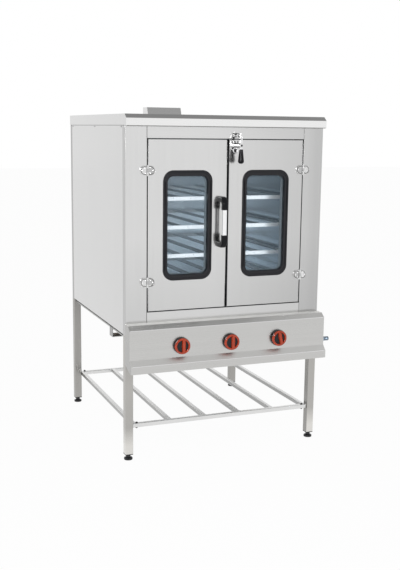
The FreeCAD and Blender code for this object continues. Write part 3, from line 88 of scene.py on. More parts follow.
class OvenFinishes(bpy.types.PropertyGroup):
    """Colours of the oven's finishes."""
    steel: colour_property("Steel", "Bright sheet of the cabinet and doors", (0.69, 0.69, 0.688))
    panel_steel: colour_property("Panel steel", "Brushed sheet of the control panel", (0.57, 0.567, 0.556))
    stand_steel: colour_property("Stand steel", "Satin tube of the legs", (0.46, 0.45, 0.43))
    shelf_steel: colour_property("Shelf steel", "Bright tube of the low shelf", (0.74, 0.74, 0.735))
    rail_steel: colour_property("Rail steel", "Dull tube under the shell", (0.40, 0.40, 0.39))
    chamber_steel: colour_property("Chamber steel", "Sheet inside the oven", (0.52, 0.57, 0.61))
    rack_steel: colour_property("Rack steel", "Bright bars of the racks", (0.46, 0.47, 0.48))
    burner_steel: colour_property("Burner steel", "Heat-stained burner tube", (0.36, 0.32, 0.29))
    # On the door edges and the panel's folds this colour is a painted highlight.
    chrome: colour_property("Chrome", "Plated handle bar, ferrule and edges", (0.92, 0.92, 0.93))
    hinge: colour_property("Hinge", "Satin plating of the hinges on the frame", (0.74, 0.74, 0.74))
    # A darker copy of the hinge plating for the door leaves: painted shade.
    hinge_leaf: colour_property("Hinge leaf", "Duller hinges on the doors", (0.52, 0.52, 0.52))
    latch: colour_property("Latch", "Plating of the latch and its strike", (0.66, 0.66, 0.66))
    zinc: colour_property("Zinc", "Bluish plating of the gas inlet", (0.42, 0.50, 0.58))
    brass: colour_property("Brass", "Valves and unions", (0.72, 0.53, 0.24))
    rubber: colour_property("Rubber", "Window gaskets, strips and knob cores", (0.014, 0.014, 0.017))
    steam_film: colour_property("Steam film", "Film on the gaskets behind the glass", (0.25, 0.28, 0.30))
    plastic: colour_property("Plastic", "Handle elbows and latch grip", (0.006, 0.006, 0.008))
    foot: colour_property("Foot", "Levelling feet and plugs", (0.010, 0.010, 0.011))
    knob: colour_property("Knob", "Red rings and pointers of the knobs", (0.42, 0.040, 0.008))
    glass: colour_property("Glass", "Tint of the window panes", (0.24, 0.33, 0.40))
    wool: colour_property("Wool", "Mineral wool round the chamber", (0.62, 0.56, 0.38))
    fibre: colour_property("Fibre", "Woven heat seal", (0.30, 0.29, 0.27))
    # Also the dark lines under the roof's lip and flanges and the dark rings on the hinge leaves, which are
    # painted shade.
    sealant: colour_property("Sealant", "Grey line in the sheet joints", (0.16, 0.16, 0.155))


class OvenHardware(bpy.types.PropertyGroup):
    """Sizes of the small hardware."""
    screw_radius: length_property("Screw radius", "Head of the sheet screws", 3.2)
    screw_height: length_property("Screw height", "Rise of a screw head", 1.3)
    screw_inset: length_property("Screw inset", "From a sheet's edge to its screws", 20)
    bolt_radius: length_property("Bolt radius", "Head of the shelf bolts", 5)
    bolt_height: length_property("Bolt height", "Rise of a shelf bolt's head", 5)
    bolt_inset: length_property("Bolt inset", "From a leg to the shelf bolt", 22)
    seam_radius: length_property("Seam radius", "Half width of the sealant in a sheet joint", 1.0)
    # This strip is a dark line of painted shade between the shell and the base rails.
    rail_shadow_radius: length_property("Rail seal radius", "Half height of the strip under the shell", 3)
    # The bright line along each fold is a painted highlight.
    fold_radius: length_property("Fold radius", "Rubbed edge of the control panel's folds", 1.2)
    edge_radius: length_property("Edge radius", "Rolled edge of a door", 2.2)
    gasket_corner: length_property("Gasket corner", "Corner radius of a window gasket", 50)
    bead_radius: length_property("Bead radius", "Locking bead in a window gasket", 3)
    bead_inset: length_property("Bead inset", "From the gasket's rim to its bead", 9)
    # The dark strip where the doors meet is painted shade for the gap.
    meeting_shade_radius: length_property("Strip radius", "Rubber strip where the doors meet", 2.4)
    lobe_radius: length_property("Lobe radius", "Round end of a hinge leaf", 23)
    lobe_reach: length_property("Lobe reach", "From the hinge pin to the tip of a leaf", 36)
    lobe_rim: length_property("Lobe rim", "Half width of the raised rim of a leaf", 1.3)
    knuckle_radius: length_property("Knuckle radius", "Hinge knuckle", 5)
    ferrule_radius: length_property("Ferrule radius", "Collar over the latch grip", 8)
    boss_radius: length_property("Boss radius", "Slotted boss beside the latch", 15.5)
    boss_height: length_property("Boss height", "Rise of the slotted boss", 11)
    # The hook and the curved lines on the latch are black as painted shade.
    loop_radius: length_property("Loop radius", "Bend of the wire hook on the strike", 10)
    loop_wire: length_property("Loop wire", "Half thickness of the hook's wire", 2.2)
    thread_pitch: length_property("Thread pitch", "Pitch of the gas inlet's thread", 1.8)
    thread_depth: length_property("Thread depth", "Depth of the gas inlet's thread", 1.1)
    thread_radius: length_property("Thread radius", "Gas inlet's thread over its crests", 10.48)
    nut_length: length_property("Nut length", "Length of the gas inlet's hexagon", 16)
    pipe_radius: length_property("Pipe radius", "Pilot pipe beside the burners", 6)
    weld_radius: length_property("Weld radius", "Half width of a weld bead", 1.8)
    round_steps: IntProperty(name="Round steps", description="Faces round a turned piece", default=48,
                             min=12)


class OvenStudio(bpy.types.PropertyGroup):
    """Camera, floor and light."""
    camera_place: FloatVectorProperty(name="Camera place", description="Where the camera stands",
                                      default=(-1.70076, -4.31741, 1.54842), subtype="TRANSLATION")
    camera_turn: FloatVectorProperty(name="Camera turn", description="How the camera is turned",
                                     default=(1.39825, -0.01218, -0.37892), subtype="EULER")
    camera_lens: number_property("Camera lens", "Focal length in millimetres", 56.458)
    floor_size: number_property("Floor size", "Side of the square floor", 60.0, unit="LENGTH")
    floor_shade: number_property("Floor shade", "Share of the floor that takes the shadow", 0.04,
                                 subtype="FACTOR", min=0, max=1)
    key_power: number_property("Key power", "Lamp in front on the left", 100.0, unit="POWER")
    oven_power: number_property("Oven power", "Lamp inside the chamber's mouth", 2.25, unit="POWER")
    sky_soft: number_property("Sky soft", "Brightness that falls on matt surfaces", 0.6)
    sky_high: number_property("Sky high", "Brightness straight overhead", 0.68)
    curtain: number_property("Curtain", "Brightness of the dark curtain behind the camera", 0.25)


def finishes():
    return bpy.context.scene.oven_finishes


def hardware():
    return bpy.context.scene.oven_hardware


def studio():
    return bpy.context.scene.oven_studio


def joint_place(name):
    """A point on a joint's axis."""
    return next(Vector(joint["pos_m"]) for joint in frame["joints"] if joint["name"] == name)


def show(name, data):
    """Put a new object into the scene."""
    shown = bpy.data.objects.new(name, data)
    bpy.context.scene.collection.objects.link(shown)
    return shown


def link_math(tree, operation, first, second):
    """A sum, product or larger value of two sockets, or of a socket and a number."""
    step = tree.nodes.new("ShaderNodeMath")
    step.operation = operation
    tree.links.new(first, step.inputs[0])
    if isinstance(second, bpy.types.NodeSocket):
        tree.links.new(second, step.inputs[1])
    else:
        step.inputs[1].default_value = second
    return step.outputs["Value"]


def map_range(tree, source, low, high, start=0.0, end=1.0):
    """A socket's values between a start and an end, mapped onto a range."""
    remap = tree.nodes.new("ShaderNodeMapRange")
    for socket, value in (("From Min", start), ("From Max", end), ("To Min", low), ("To Max", high)):
        remap.inputs[socket].default_value = value
    tree.links.new(source, remap.inputs["Value"])
    return remap.outputs["Result"]


# Most of a noise's values lie between these.
NOISE_LOW = 0.3
NOISE_HIGH = 0.7
# Square of a direction's part, from nearly along an axis to fully along it.
ALONG_AXIS = (0.8, 0.95)


class Finish:
    """A procedural material, with short ways to add the textures that steer it."""

    def __init__(self, name, colour, roughness, metallic=0.0, level=1.0):
        self.material = bpy.data.materials.new(name)
        self.material.use_nodes = True
        self.tree = self.material.node_tree
        self.shader = self.tree.nodes["Principled BSDF"]
        self.colour = [channel * level for channel in getattr(finishes(), colour)]
        self.set("Base Color", (*self.colour, 1))
        self.set("Roughness", roughness)
        self.set("Metallic", metallic)

    def set(self, socket, value):
        self.shader.inputs[socket].default_value = value

    def new(self, kind):
        return self.tree.nodes.new(kind)

    def link(self, source, target):
        self.tree.links.new(source, target)

    def coordinate(self, kind, axis):
        parts = self.new("ShaderNodeSeparateXYZ")
        self.link(self.new("ShaderNodeTexCoord").outputs[kind], parts.inputs["Vector"])
        return parts.outputs[axis]

    def place(self, axis):
        """One coordinate of the part's own space, in metres."""
        return self.coordinate("Object", axis)

    def facing(self, axis):
        """One part of the direction in which the surface faces."""
        return self.coordinate("Normal", axis)

    def noise(self, scale, detail=2.0, distortion=0.0):
        """Noise in the part's own metres, stretched by one scale or by a scale for each axis."""
        stretch = self.new("ShaderNodeMapping")
        stretch.inputs["Scale"].default_value = scale if isinstance(scale, tuple) else (scale, scale, scale)
        noise = self.new("ShaderNodeTexNoise")
        noise.inputs["Scale"].default_value = 1.0
        noise.inputs["Detail"].default_value = detail
        noise.inputs["Distortion"].default_value = distortion
        self.link(self.new("ShaderNodeTexCoord").outputs["Object"], stretch.inputs["Vector"])
        self.link(stretch.outputs["Vector"], noise.inputs["Vector"])
        return noise.outputs["Fac"]

    def spread(self, source, low, high, start=NOISE_LOW, end=NOISE_HIGH):
        """A texture's values mapped onto a range."""
        return map_range(self.tree, source, low, high, start, end)

    def join(self, first, second, operation="ADD"):
        """Two textures added or multiplied."""
        return link_math(self.tree, operation, first, second)

    def both(self, first, second):
        """Where two shares meet."""
        return self.join(first, second, "MULTIPLY")

    def blend(self, first, share, second):
        """Two noises put together, the first with a share and the second with the rest."""
        return self.join(self.spread(first, 0, share), self.spread(second, 0, 1 - share))

    def square(self, source, start, end):
        """How far a value's square lies between a start and an end."""
        return self.spread(self.both(source, source), 0, 1, start, end)

    def shade(self, amount):
        """The finish's own colour, darker or lighter."""
        return [min(channel * amount, 1) for channel in self.colour]

    def tint(self, share, colour):
        """Go over to another colour by a share between nothing and one."""
        target = self.shader.inputs["Base Color"]
        mix = self.new("ShaderNodeMix")
        mix.data_type = "RGBA"
        before, after = [socket for socket in mix.inputs if socket.type == "RGBA"]
        before.default_value = target.default_value
        after.default_value = (*colour, 1)
        if target.is_linked:
            self.link(target.links[0].from_socket, before)
        self.link(share, mix.inputs["Factor"])
        result = next(socket for socket in mix.outputs if socket.type == "RGBA")
        self.link(result, target)

    def fade(self, source, start, end, amount, share=1.0):
        """Go over to a darker or lighter shade while a value goes from a start to an end."""
        self.tint(self.spread(source, 0, share, start, end), self.shade(amount))

    def shade_faces(self, axis, amount):
        """Darken or lighten the faces that look along an axis, either way."""
        self.tint(self.square(self.facing(axis), *ALONG_AXIS), self.shade(amount))

    def mottle(self, texture, darker, lighter):
        """Let a texture darken and lighten the colour."""
        self.set("Base Color", (*self.shade(darker), 1))
        self.tint(self.spread(texture, 0, 1), self.shade(lighter))

    def vary_roughness(self, texture, low, high):
        self.link(self.spread(texture, low, high), self.shader.inputs["Roughness"])

    def roughen(self, share):
        """Add a share to the roughness."""
        target = self.shader.inputs["Roughness"]
        self.link(self.join(target.links[0].from_socket, share), target)

    def relief(self, texture, strength, height):
        """Raise the surface a little by a texture."""
        bump = self.new("ShaderNodeBump")
        bump.inputs["Strength"].default_value = strength
        bump.inputs["Distance"].default_value = height
        self.link(texture, bump.inputs["Height"])
        self.link(bump.outputs["Normal"], self.shader.inputs["Normal"])


FINE_LINES = 900.0
BROAD_STREAKS = 70.0
ALONG_GRAIN = 2.0
WIPING_MARKS = 2.4
PLATING_CLOUDS = 90.0
SCALE_PITS = 260.0
PLASTIC_PEBBLE = 1400.0
PLASTIC_CLOUDS = 30.0


def grain(axis, across):
    """Texture scale for brush lines that run along one axis."""
    return tuple(ALONG_GRAIN if each == axis else across for each in "xyz")


def rolled_steel(name, colour, axis, low, high, level=1.0):
    """Stainless sheet: fine brush lines, faint streaks, and wiping marks that change its gloss."""
    finish = Finish(name, colour, low, metallic=1.0, level=level)
    lines = finish.noise(grain(axis, FINE_LINES), detail=3)
    streaks = finish.noise(grain(axis, BROAD_STREAKS), detail=2)
    wiping = finish.noise(WIPING_MARKS, detail=4, distortion=0.6)
    finish.mottle(finish.blend(streaks, 0.4, wiping), 0.985, 1.012)
    finish.vary_roughness(finish.blend(lines, 0.5, wiping), low, high)
    finish.relief(lines, 0.04, 0.1 * MM)
    return finish


def sheet_steel(name, axis, low=0.13, high=0.2):
    """Cabinet sheet, with painted shade that darkens it towards the right and towards the bottom."""
    finish = rolled_steel(name, "steel", axis, low, high)
    # Painted shade: the sheet goes darker towards the right and towards the bottom.
    painted_shade_right = finish.spread(finish.place("X"), 0, 0.55, -0.1, 0.5)
    painted_shade_low = finish.spread(finish.place("Z"), 0.35, 0, 0.65, 1.05)
    finish.tint(finish.join(painted_shade_right, painted_shade_low), finish.shade(0.64))
    return finish


def door_steel(name):
    """Door sheet: painted shade darkens the folded edges in the gaps, most of all where the doors meet, and
    the top and bottom faces.
    """
    finish = sheet_steel(name, "z", 0.17, 0.24)
    side_fold = finish.square(finish.facing("X"), *ALONG_AXIS)
    meeting = finish.square(finish.place("X"), 0.004, 0.002)
    # Painted shade in the gaps beside the doors, darkest where they meet, and on the doors' top and bottom
    # faces.
    finish.tint(side_fold, finish.shade(0.35))
    finish.tint(finish.both(side_fold, meeting), finish.shade(0.06))
    finish.shade_faces("Z", 0.35)
    return finish


def rail_steel(name):
    """Front rails: painted light brightens the lower rail, and painted shade darkens the folds that face
    the doors.
    """
    finish = sheet_steel(name, "x")
    # Painted light on the lower rail, then painted shade on the folds that face the doors.
    finish.fade(finish.place("Z"), 0.9, 0.7, 1.0, share=0.5)
    finish.shade_faces("Z", 0.1)
    return finish


def post_steel(name):
    """Corner posts: painted shade darkens the right post, the outer returns (most of all at the rear) and
    the folds that face the doors.
    """
    finish = sheet_steel(name, "z")
    # Painted shade: on the right post, on the outer returns (more on the rear posts) and on the folds that
    # face the doors.
    finish.fade(finish.place("X"), 0.4, 0.44, 0.64, share=0.3)
    outward = finish.both(finish.facing("X"), finish.place("X"))
    outer = finish.spread(outward, 0, 1, 0.25, 0.4)
    rear = finish.spread(finish.place("Y"), 0, 1, 0.3, 0.4)
    finish.tint(outer, finish.shade(0.66))
    finish.tint(finish.both(outer, rear), finish.shade(0.45))
    finish.fade(outward, -0.25, -0.35, 0.45)
    return finish


def roof_steel(name):
    """Roof sheet: a painted highlight brightens the front lip, painted shade darkens the top, the bevel and
    the sides, and the top is rougher.
    """
    finish = sheet_steel(name, "x", 0.1, 0.16)
    # Painted shade on the sides, the top and the bevel, and a painted highlight on the front lip; the top's
    # extra roughness is real.
    finish.shade_faces("X", 0.92)
    finish.fade(finish.facing("Z"), 0.3, 0.7, 0.44)
    finish.fade(finish.facing("Y"), -0.9, -0.99, 1.2)
    finish.roughen(finish.spread(finish.facing("Z"), 0, 0.45, 0.9, 0.99))
    return finish


def flue_steel(name):
    """Flue: painted shade darkens its front."""
    finish = sheet_steel(name, "x")
    # Painted shade on the flue's front.
    finish.fade(finish.facing("Y"), -0.5, -0.8, 0.55)
    return finish


def panel_steel(name):
    """Control panel: brushed along its length; painted light brightens the ledge and the low fold, painted
    shade darkens the ends, and the ledge is satin.
    """
    finish = rolled_steel(name, "panel_steel", "x", 0.26, 0.34)
    # Painted shade on the ends, and painted light on the ledge; the ledge's extra roughness and lower
    # metallic are its real satin finish.
    finish.shade_faces("X", 0.76)
    ledge = finish.spread(finish.facing("Z"), 0, 1, 0.9, 0.98)
    finish.tint(ledge, finish.shade(1.6))
    finish.roughen(finish.spread(ledge, 0, 0.3, 0, 1))
    finish.link(finish.spread(ledge, 1, 0.45, 0, 1), finish.shader.inputs["Metallic"])
    low_fold = finish.both(finish.spread(finish.facing("Z"), 0, 1, 0.3, 0.5),
                           finish.spread(finish.place("Z"), 1, 0, 0.52, 0.54))
    # Painted light on the low fold.
    finish.tint(low_fold, finish.shade(1.14))
    finish.roughen(finish.spread(low_fold, 0, 0.08, 0, 1))
    return finish


def chamber_steel(name, low, high):
    """Chamber sheet: painted light brightens it towards the floor and painted shade darkens it towards the
    ceiling.
    """
    finish = rolled_steel(name, "chamber_steel", "y", low, high)
    # Painted light towards the floor, painted shade towards the ceiling.
    finish.fade(finish.place("Z"), 1.2, 0.85, 1.24)
    finish.fade(finish.place("Z"), 1.0, 1.35, 0.56)
    return finish


def rack_finish(name):
    """Rack: front bars in the plain colour, with painted shade that darkens the slats much and the rear
    bars a little.
    """
    finish = bright_metal(name, "rack_steel", 0.3)
    finish.set("Metallic", 0.4)
    low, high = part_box("rack_1")
    # Painted shade: very dark slats behind the front bars, slightly darker rear bars.
    finish.fade(finish.place("Y"), low.y + 10 * MM, low.y + 14 * MM, 0.06)
    finish.fade(finish.place("Y"), high.y - 30 * MM, high.y - 16 * MM, 0.8)
    return finish


def knob_finish(name):
    """Knob: glossy, with painted shade on the top of its side wall."""
    finish = moulded(name, "knob", 0.12, 0.02)
    # Painted shade on the part of the side wall that faces up.
    wall = finish.spread(finish.facing("Y"), 0, 1, -0.5, -0.1)
    top = finish.spread(finish.facing("Z"), 0, 1, 0, 0.5)
    finish.tint(finish.both(wall, top), finish.shade(0.3))
    return finish


def satin_tube(name, colour):
    """Ground tube with soft blotches."""
    finish = Finish(name, colour, 0.34, metallic=1.0)
    blotch = finish.noise((7.0, 7.0, 4.0), detail=5, distortion=0.4)
    finish.mottle(blotch, 0.95, 1.04)
    finish.vary_roughness(blotch, 0.26, 0.38)
    return finish


def leg_steel(name):
    """Legs: painted light brightens them towards the floor, and painted shade darkens the rear legs and the
    sides that face in under the oven.
    """
    finish = satin_tube(name, "stand_steel")
    # Painted light near the floor, painted shade on the rear legs and on the sides that face in.
    finish.fade(finish.place("Z"), 0.16, 0.07, 1.6)
    finish.fade(finish.place("Y"), 0.3, 0.4, 0.85)
    inward = finish.both(finish.facing("X"), finish.place("X"))
    finish.fade(inward, -0.25, -0.35, 0.72)
    return finish


def shelf_steel(name):
    """Shelf bars: painted shade darkens the faces that look left and right, so the bars between the front
    and rear bars read darker.
    """
    finish = satin_tube(name, "shelf_steel")
    # Painted shade on the faces that look left and right.
    finish.shade_faces("X", 0.5)
    return finish


def bright_metal(name, colour, roughness, clouding=0.04):
    """Polished or plated metal with light clouding."""
    finish = Finish(name, colour, roughness, metallic=1.0)
    cloud = finish.noise(PLATING_CLOUDS, detail=4)
    finish.mottle(cloud, 0.94, 1.03)
    finish.vary_roughness(cloud, roughness - clouding, roughness + clouding)
    return finish


def stained_metal(name, colour):
    """Burner tube: heat-stained, dull and blotched."""
    finish = Finish(name, colour, 0.5, metallic=1.0)
    stain = finish.noise((9.0, 14.0, 30.0), detail=6, distortion=1.2)
    finish.mottle(stain, 0.55, 1.5)
    finish.vary_roughness(stain, 0.36, 0.68)
    finish.relief(finish.noise(SCALE_PITS, detail=4), 0.15, 0.4 * MM)
    return finish


def moulded(name, colour, roughness, pebble_strength=0.1, gloss=0.5):
    """Moulded plastic or rubber: fine pebble and slightly uneven gloss."""
    finish = Finish(name, colour, roughness)
    finish.set("Specular IOR Level", gloss)
    pebble = finish.noise(PLASTIC_PEBBLE, detail=2)
    cloud = finish.noise(PLASTIC_CLOUDS, detail=3)
    finish.mottle(cloud, 0.85, 1.2)
    finish.vary_roughness(finish.blend(cloud, 0.7, pebble), roughness * 0.8, roughness * 1.25)
    finish.relief(pebble, pebble_strength, 0.1 * MM)
    return finish


def gasket_rubber(name):
    """Window gasket: black rubber, with a grey film of old steam behind the glass."""
    finish = moulded(name, "rubber", 0.5, gloss=0.3)
    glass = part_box("left_window_glass")[1].y
    finish.tint(finish.spread(finish.place("Y"), 0, 1, glass, glass + 2 * MM), finishes().steam_film)
    return finish


def clear_pane(name, colour):
    """Window glass: mostly clear, with a bluish film of old steam."""
    finish = Finish(name, colour, 0.04)
    film = finish.noise((5.0, 5.0, 3.0), detail=5, distortion=0.8)
    finish.mottle(film, 0.85, 1.15)
    finish.vary_roughness(film, 0.02, 0.08)
    finish.link(finish.spread(film, 0.10, 0.16), finish.shader.inputs["Alpha"])
    finish.set("IOR", 1.5)
    return finish


def fibrous(name, colour, scale):
    """Mineral wool or woven seal: matt and tufted."""
    finish = Finish(name, colour, 0.95)
    tuft = finish.noise(scale, detail=8, distortion=1.5)
    finish.mottle(tuft, 0.7, 1.2)
    finish.relief(tuft, 0.8, 3 * MM)
    return finish


# Each finish: its slot in the record, its maker, and what the maker is told.
FINISHES = {
    # Side panels: the cabinet steel at nine tenths, a darker copy as painted shade.
    "steel_side": ("stainless", rolled_steel, "steel", "z", 0.13, 0.2, 0.9),
    "steel_level": ("stainless", sheet_steel, "x"),
    "steel_door": ("stainless", door_steel),
    "steel_frame": ("stainless", rail_steel),
    "steel_post": ("stainless", post_steel),
    "steel_roof": ("stainless", roof_steel),
    "steel_flue": ("stainless", flue_steel),
    "steel_panel": ("stainless", panel_steel),
    # Brighter metal on the door edges and the panel's folds: a painted highlight.
    "steel_edge": ("stainless", bright_metal, "chrome", 0.2),
    "steel_leg": ("stand_steel", leg_steel),
    "steel_shelf": ("stand_steel", shelf_steel),
    "steel_rail": ("stand_steel", satin_tube, "rail_steel"),
    "steel_chamber": ("chamber_steel", chamber_steel, 0.3, 0.45),
    "steel_wall": ("chamber_steel", chamber_steel, 0.13, 0.19),
    "steel_rack": ("rack_steel", rack_finish),
    "steel_burner": ("burner_steel", stained_metal, "burner_steel"),
    "chrome": ("chrome", bright_metal, "chrome", 0.08),
    "hinge_plate": ("chrome", bright_metal, "hinge", 0.16),
    # Darker copy of the hinge plating for the door leaves: painted shade.
    "hinge_leaf": ("chrome", bright_metal, "hinge_leaf", 0.16),
    "latch_plate": ("chrome", bright_metal, "latch", 0.12),
    "zinc": ("chrome", bright_metal, "zinc", 0.2, 0.08),
    "brass": ("brass", bright_metal, "brass", 0.3, 0.08),
    "gasket": ("gasket_rubber", gasket_rubber),
    "rubber": ("gasket_rubber", moulded, "rubber", 0.5, 0.1, 0.3),
    "plastic": ("black_plastic", moulded, "plastic", 0.16, 0.04, 0.15),
    "foot": ("black_plastic", moulded, "foot", 0.36),
    "knob_red": ("knob_red", knob_finish),
    "pane": ("window_glass", clear_pane, "glass"),
    "wool": ("insulation_wool", fibrous, "wool", 60.0),
    "fibre": ("seal_fibre", fibrous, "fibre", 300.0),
    # Real sealant in the joints, and also the dark lines of painted shade under the roof and on the hinge
    # leaves.
    "sealant": ("gasket_rubber", moulded, "sealant", 0.6),
}


def material(finish):
    """A finish's material, made when it is first asked for."""
    name = f"oven_{finish}"
    maker, *settings = FINISHES[finish][1:]
    return bpy.data.materials.get(name) or maker(name, *settings).material


def dress(finish, *names):
    """Give CAD parts a finish."""
    for name in names:
        part = frame["nodes"][name]
        part.data.materials.clear()
        part.data.materials.append(material(finish))


# Edges that bend more than this stay sharp.
SHARP = math.radians(32)
BEAD_SIDES = 10
RIPPLE_STEP = 2.1
ROD_ROUNDING = 0.3
HEXAGON = 6
TRIANGLE = 3


def section(radius, sides=0):
    """How far a section reaches at an angle: a circle, or a polygon round that circle."""
    if not sides:
        return lambda angle: radius
    share = 2 * math.pi / sides
    return lambda angle: radius / math.cos(angle % share - share / 2)


class Piece:
    """A mesh built from turned and swept forms."""

    def __init__(self, name, finish, body):
        self.name = name
        self.finish = finish
        self.body = body
        self.mesh = bmesh.new()

    def ring(self, place, axis, reach, steps):
        """Corners round a point on an axis, each as far off as the section reaches there."""
        turn = axis.to_track_quat("Z", "Y").to_matrix()
        corners = []
        for step in range(steps):
            angle = 2 * math.pi * step / steps
            spoke = turn @ Vector((math.cos(angle), math.sin(angle), 0))
            corners.append(self.mesh.verts.new(place + spoke * reach(angle)))
        return corners

    def skin(self, rings, closed=False):
        """Faces between rings that follow each other."""
        following = rings[1:] + rings[:1] if closed else rings[1:]
        for ring, next_ring in zip(rings, following):
            for index in range(len(ring)):
                after = (index + 1) % len(ring)
                self.mesh.faces.new((ring[index], ring[after], next_ring[after], next_ring[index]))

    def close(self, rings):
        """A face over each end."""
        self.mesh.faces.new(reversed(rings[0]))
        self.mesh.faces.new(rings[-1])

    def turned(self, profile, place, axis):
        """A form turned round an axis. Each point of the profile is a radius, a way along the axis and,
        if the section there is a polygon, its count of sides."""
        steps = hardware().round_steps
        rings = [self.ring(place + axis * along, axis, section(radius, *sides), steps)
                 for radius, along, *sides in profile]
        self.skin(rings)
        self.close(rings)

    def swept(self, path, radius, ripple=0.0, closed=True):
        """A round bead along a path; a ripple makes it look welded."""
        count = len(path)
        rings = []
        for index, point in enumerate(path):
            ahead = path[(index + 1) % count] if closed or index + 1 < count else point
            behind = path[index - 1] if closed or index else point
            thick = radius * (1 + ripple * math.sin(index * RIPPLE_STEP))
            rings.append(self.ring(point, (ahead - behind).normalized(), section(thick), BEAD_SIDES))
        self.skin(rings, closed)
        if not closed:
            self.close(rings)

    def rod(self, start, end, radius):
        """A round rod with rounded ends."""
        axis = (end - start).normalized()
        length = (end - start).length
        soft = radius * ROD_ROUNDING
        self.turned([(radius - soft, 0), (radius, soft), (radius, length - soft), (radius - soft, length)],
                    start, axis)

    def screw(self, place, axis, radius, height):
        """A low domed screw head with a hexagon socket."""
        self.turned([(radius, 0), (radius, height * 0.3), (radius * 0.88, height * 0.75),
                     (radius * 0.62, height), (radius * 0.42, height, HEXAGON),
                     (radius * 0.4, height * 0.35, HEXAGON)], place, axis)

    def bolt(self, place, axis, radius, height):
        """A hexagon bolt head on a washer."""
        washer = height * 0.18
        self.turned([(radius * 1.25, 0), (radius * 1.25, washer), (radius, washer, HEXAGON),
                     (radius, height * 0.82, HEXAGON), (radius * 0.86, height)], place, axis)

    def done(self):
        """Make the object, smooth it and let it ride."""
        bmesh.ops.recalc_face_normals(self.mesh, faces=self.mesh.faces)
        data = bpy.data.meshes.new(self.name)
        self.mesh.to_mesh(data)
        self.mesh.free()
        data.shade_smooth()
        data.set_sharp_from_angle(angle=SHARP)
        data.materials.append(material(self.finish))
        shown = show(self.name, data)
        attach(shown, self.body)
        return shown


def arc(middle, radius, start, end, steps=24):
    """Points of an upright arc seen from the front, from one angle to another in degrees."""
    angles = [math.radians(start + (end - start) * step / steps) for step in range(steps + 1)]
    return [middle + Vector((math.cos(angle), 0, math.sin(angle))) * radius for angle in angles]


def rounded_loop(half_wide, half_tall, radius, steps=10):
    """Points of an upright rectangle with round corners, as pairs across and up."""
    points = []
    for quarter, (right, top) in enumerate(((1, 1), (-1, 1), (-1, -1), (1, -1))):
        for step in range(steps + 1):
            angle = math.pi / 2 * (quarter + step / steps)
            points.append((right * (half_wide - radius) + radius * math.cos(angle),
                           top * (half_tall - radius) + radius * math.sin(angle)))
    return points


BACK_SCREW_ROWS = 6
LIP_END = 4 * MM
FLANGE_SHEET = 2 * MM


class OVEN_OT_shell(bpy.types.Operator):
    """Finish the posts, rails, side panels, back, roof cover and flue, and add their screws and seams, dark
    lines of painted shadow under the roof, and dark strips of painted shade under the shell
    """
    bl_idname = "oven.shell"
    bl_label = "Shell"

    def execute(self, context):
        dress("steel_post", "front_posts", "rear_posts")
        dress("steel_frame", "front_rails")
        dress("steel_level", "back_panel")
        dress("steel_flue", "flue_outlet")
        dress("steel_roof", "roof_cover")
        dress("steel_side", "side_panels")
        self.add_screws()
        self.add_seams()
        self.add_rail_shadow_strips()
        return {"FINISHED"}

    def add_screws(self):
        """Screws in the side panels under the roof's flange, and down both sides of the back panel."""
        sizes = hardware()
        inset = sizes.screw_inset
        head = (sizes.screw_radius, sizes.screw_height)
        low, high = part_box("side_panels")
        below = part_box("roof_cover")[0].z - sizes.screw_radius * 1.5
        side = Piece("side_screws", "foot", "cabinet")
        for y in (low.y + inset, (low.y + high.y) / 2, high.y - inset):
            side.screw(Vector((low.x, y, below)), LEFT, *head)
            side.screw(Vector((high.x, y, below)), RIGHT, *head)
        side.done()
        low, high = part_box("back_panel")
        back = Piece("back_screws", "zinc", "cabinet")
        for row in range(BACK_SCREW_ROWS):
            z = low.z + inset + (high.z - low.z - 4 * inset) * row / (BACK_SCREW_ROWS - 1)
            for x in (low.x + inset, high.x - inset):
                back.screw(Vector((x, high.y, z)), BACK, *head)
        back.done()

    def add_seams(self):
        """Sealant where the rails meet the posts, and dark lines under the roof's lip and flanges as
        painted shadow.
        """
        sizes = hardware()
        radius = sizes.seam_radius
        low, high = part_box("front_rails")
        door_low, door_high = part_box("left_door_panel")
        seams = Piece("rail_seams", "sealant", "cabinet")
        for x in (low.x, high.x):
            for foot, top in ((low.z, door_low.z), (door_high.z, high.z)):
                seams.rod(Vector((x, low.y, foot)), Vector((x, low.y, top)), radius)
        # Painted shadow: dark lines under the roof's lip and along the foot of its flanges.
        roof_low, roof_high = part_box("roof_cover")
        lip = Vector((0, roof_low.y + radius, roof_low.z - radius / 2))
        seams.rod(lip + RIGHT * (roof_low.x + LIP_END), lip + RIGHT * (roof_high.x - LIP_END), radius)
        flange = roof_low.z + FLANGE_SHEET - radius
        rear = roof_high.y - sizes.screw_inset
        for x in (roof_low.x + radius, roof_high.x - radius):
            seams.rod(Vector((x, low.y, flange)), Vector((x, rear, flange)), radius)
        seams.done()

    def add_rail_shadow_strips(self):
        """A dark rubber strip along each side, between the shell and the base rails, as painted shade under
        the shell's edge.
        """
        radius = hardware().rail_shadow_radius
        low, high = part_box("base_rails")
        front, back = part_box("side_panels")
        z = high.z - radius * 3.2
        strips = Piece("rail_seals", "rubber", "cabinet")
        for x in (low.x, high.x):
            strips.rod(Vector((x, front.y, z)), Vector((x, back.y, z)), radius)
        strips.done()


class OVEN_OT_chamber(bpy.types.Operator):
    """Finish the oven chamber, its racks, runners, insulation and seal"""
    bl_idname = "oven.chamber"
    bl_label = "Chamber"

    def execute(self, context):
        dress("steel_chamber", "chamber_back_wall", "chamber_ceiling", "chamber_floor", "rack_runners")
        dress("steel_wall", "chamber_side_walls")
        dress("steel_rack", *[f"rack_{number}" for number in range(1, 5)])
        dress("wool", "insulation")
        dress("fibre", "door_seal")
        return {"FINISHED"}


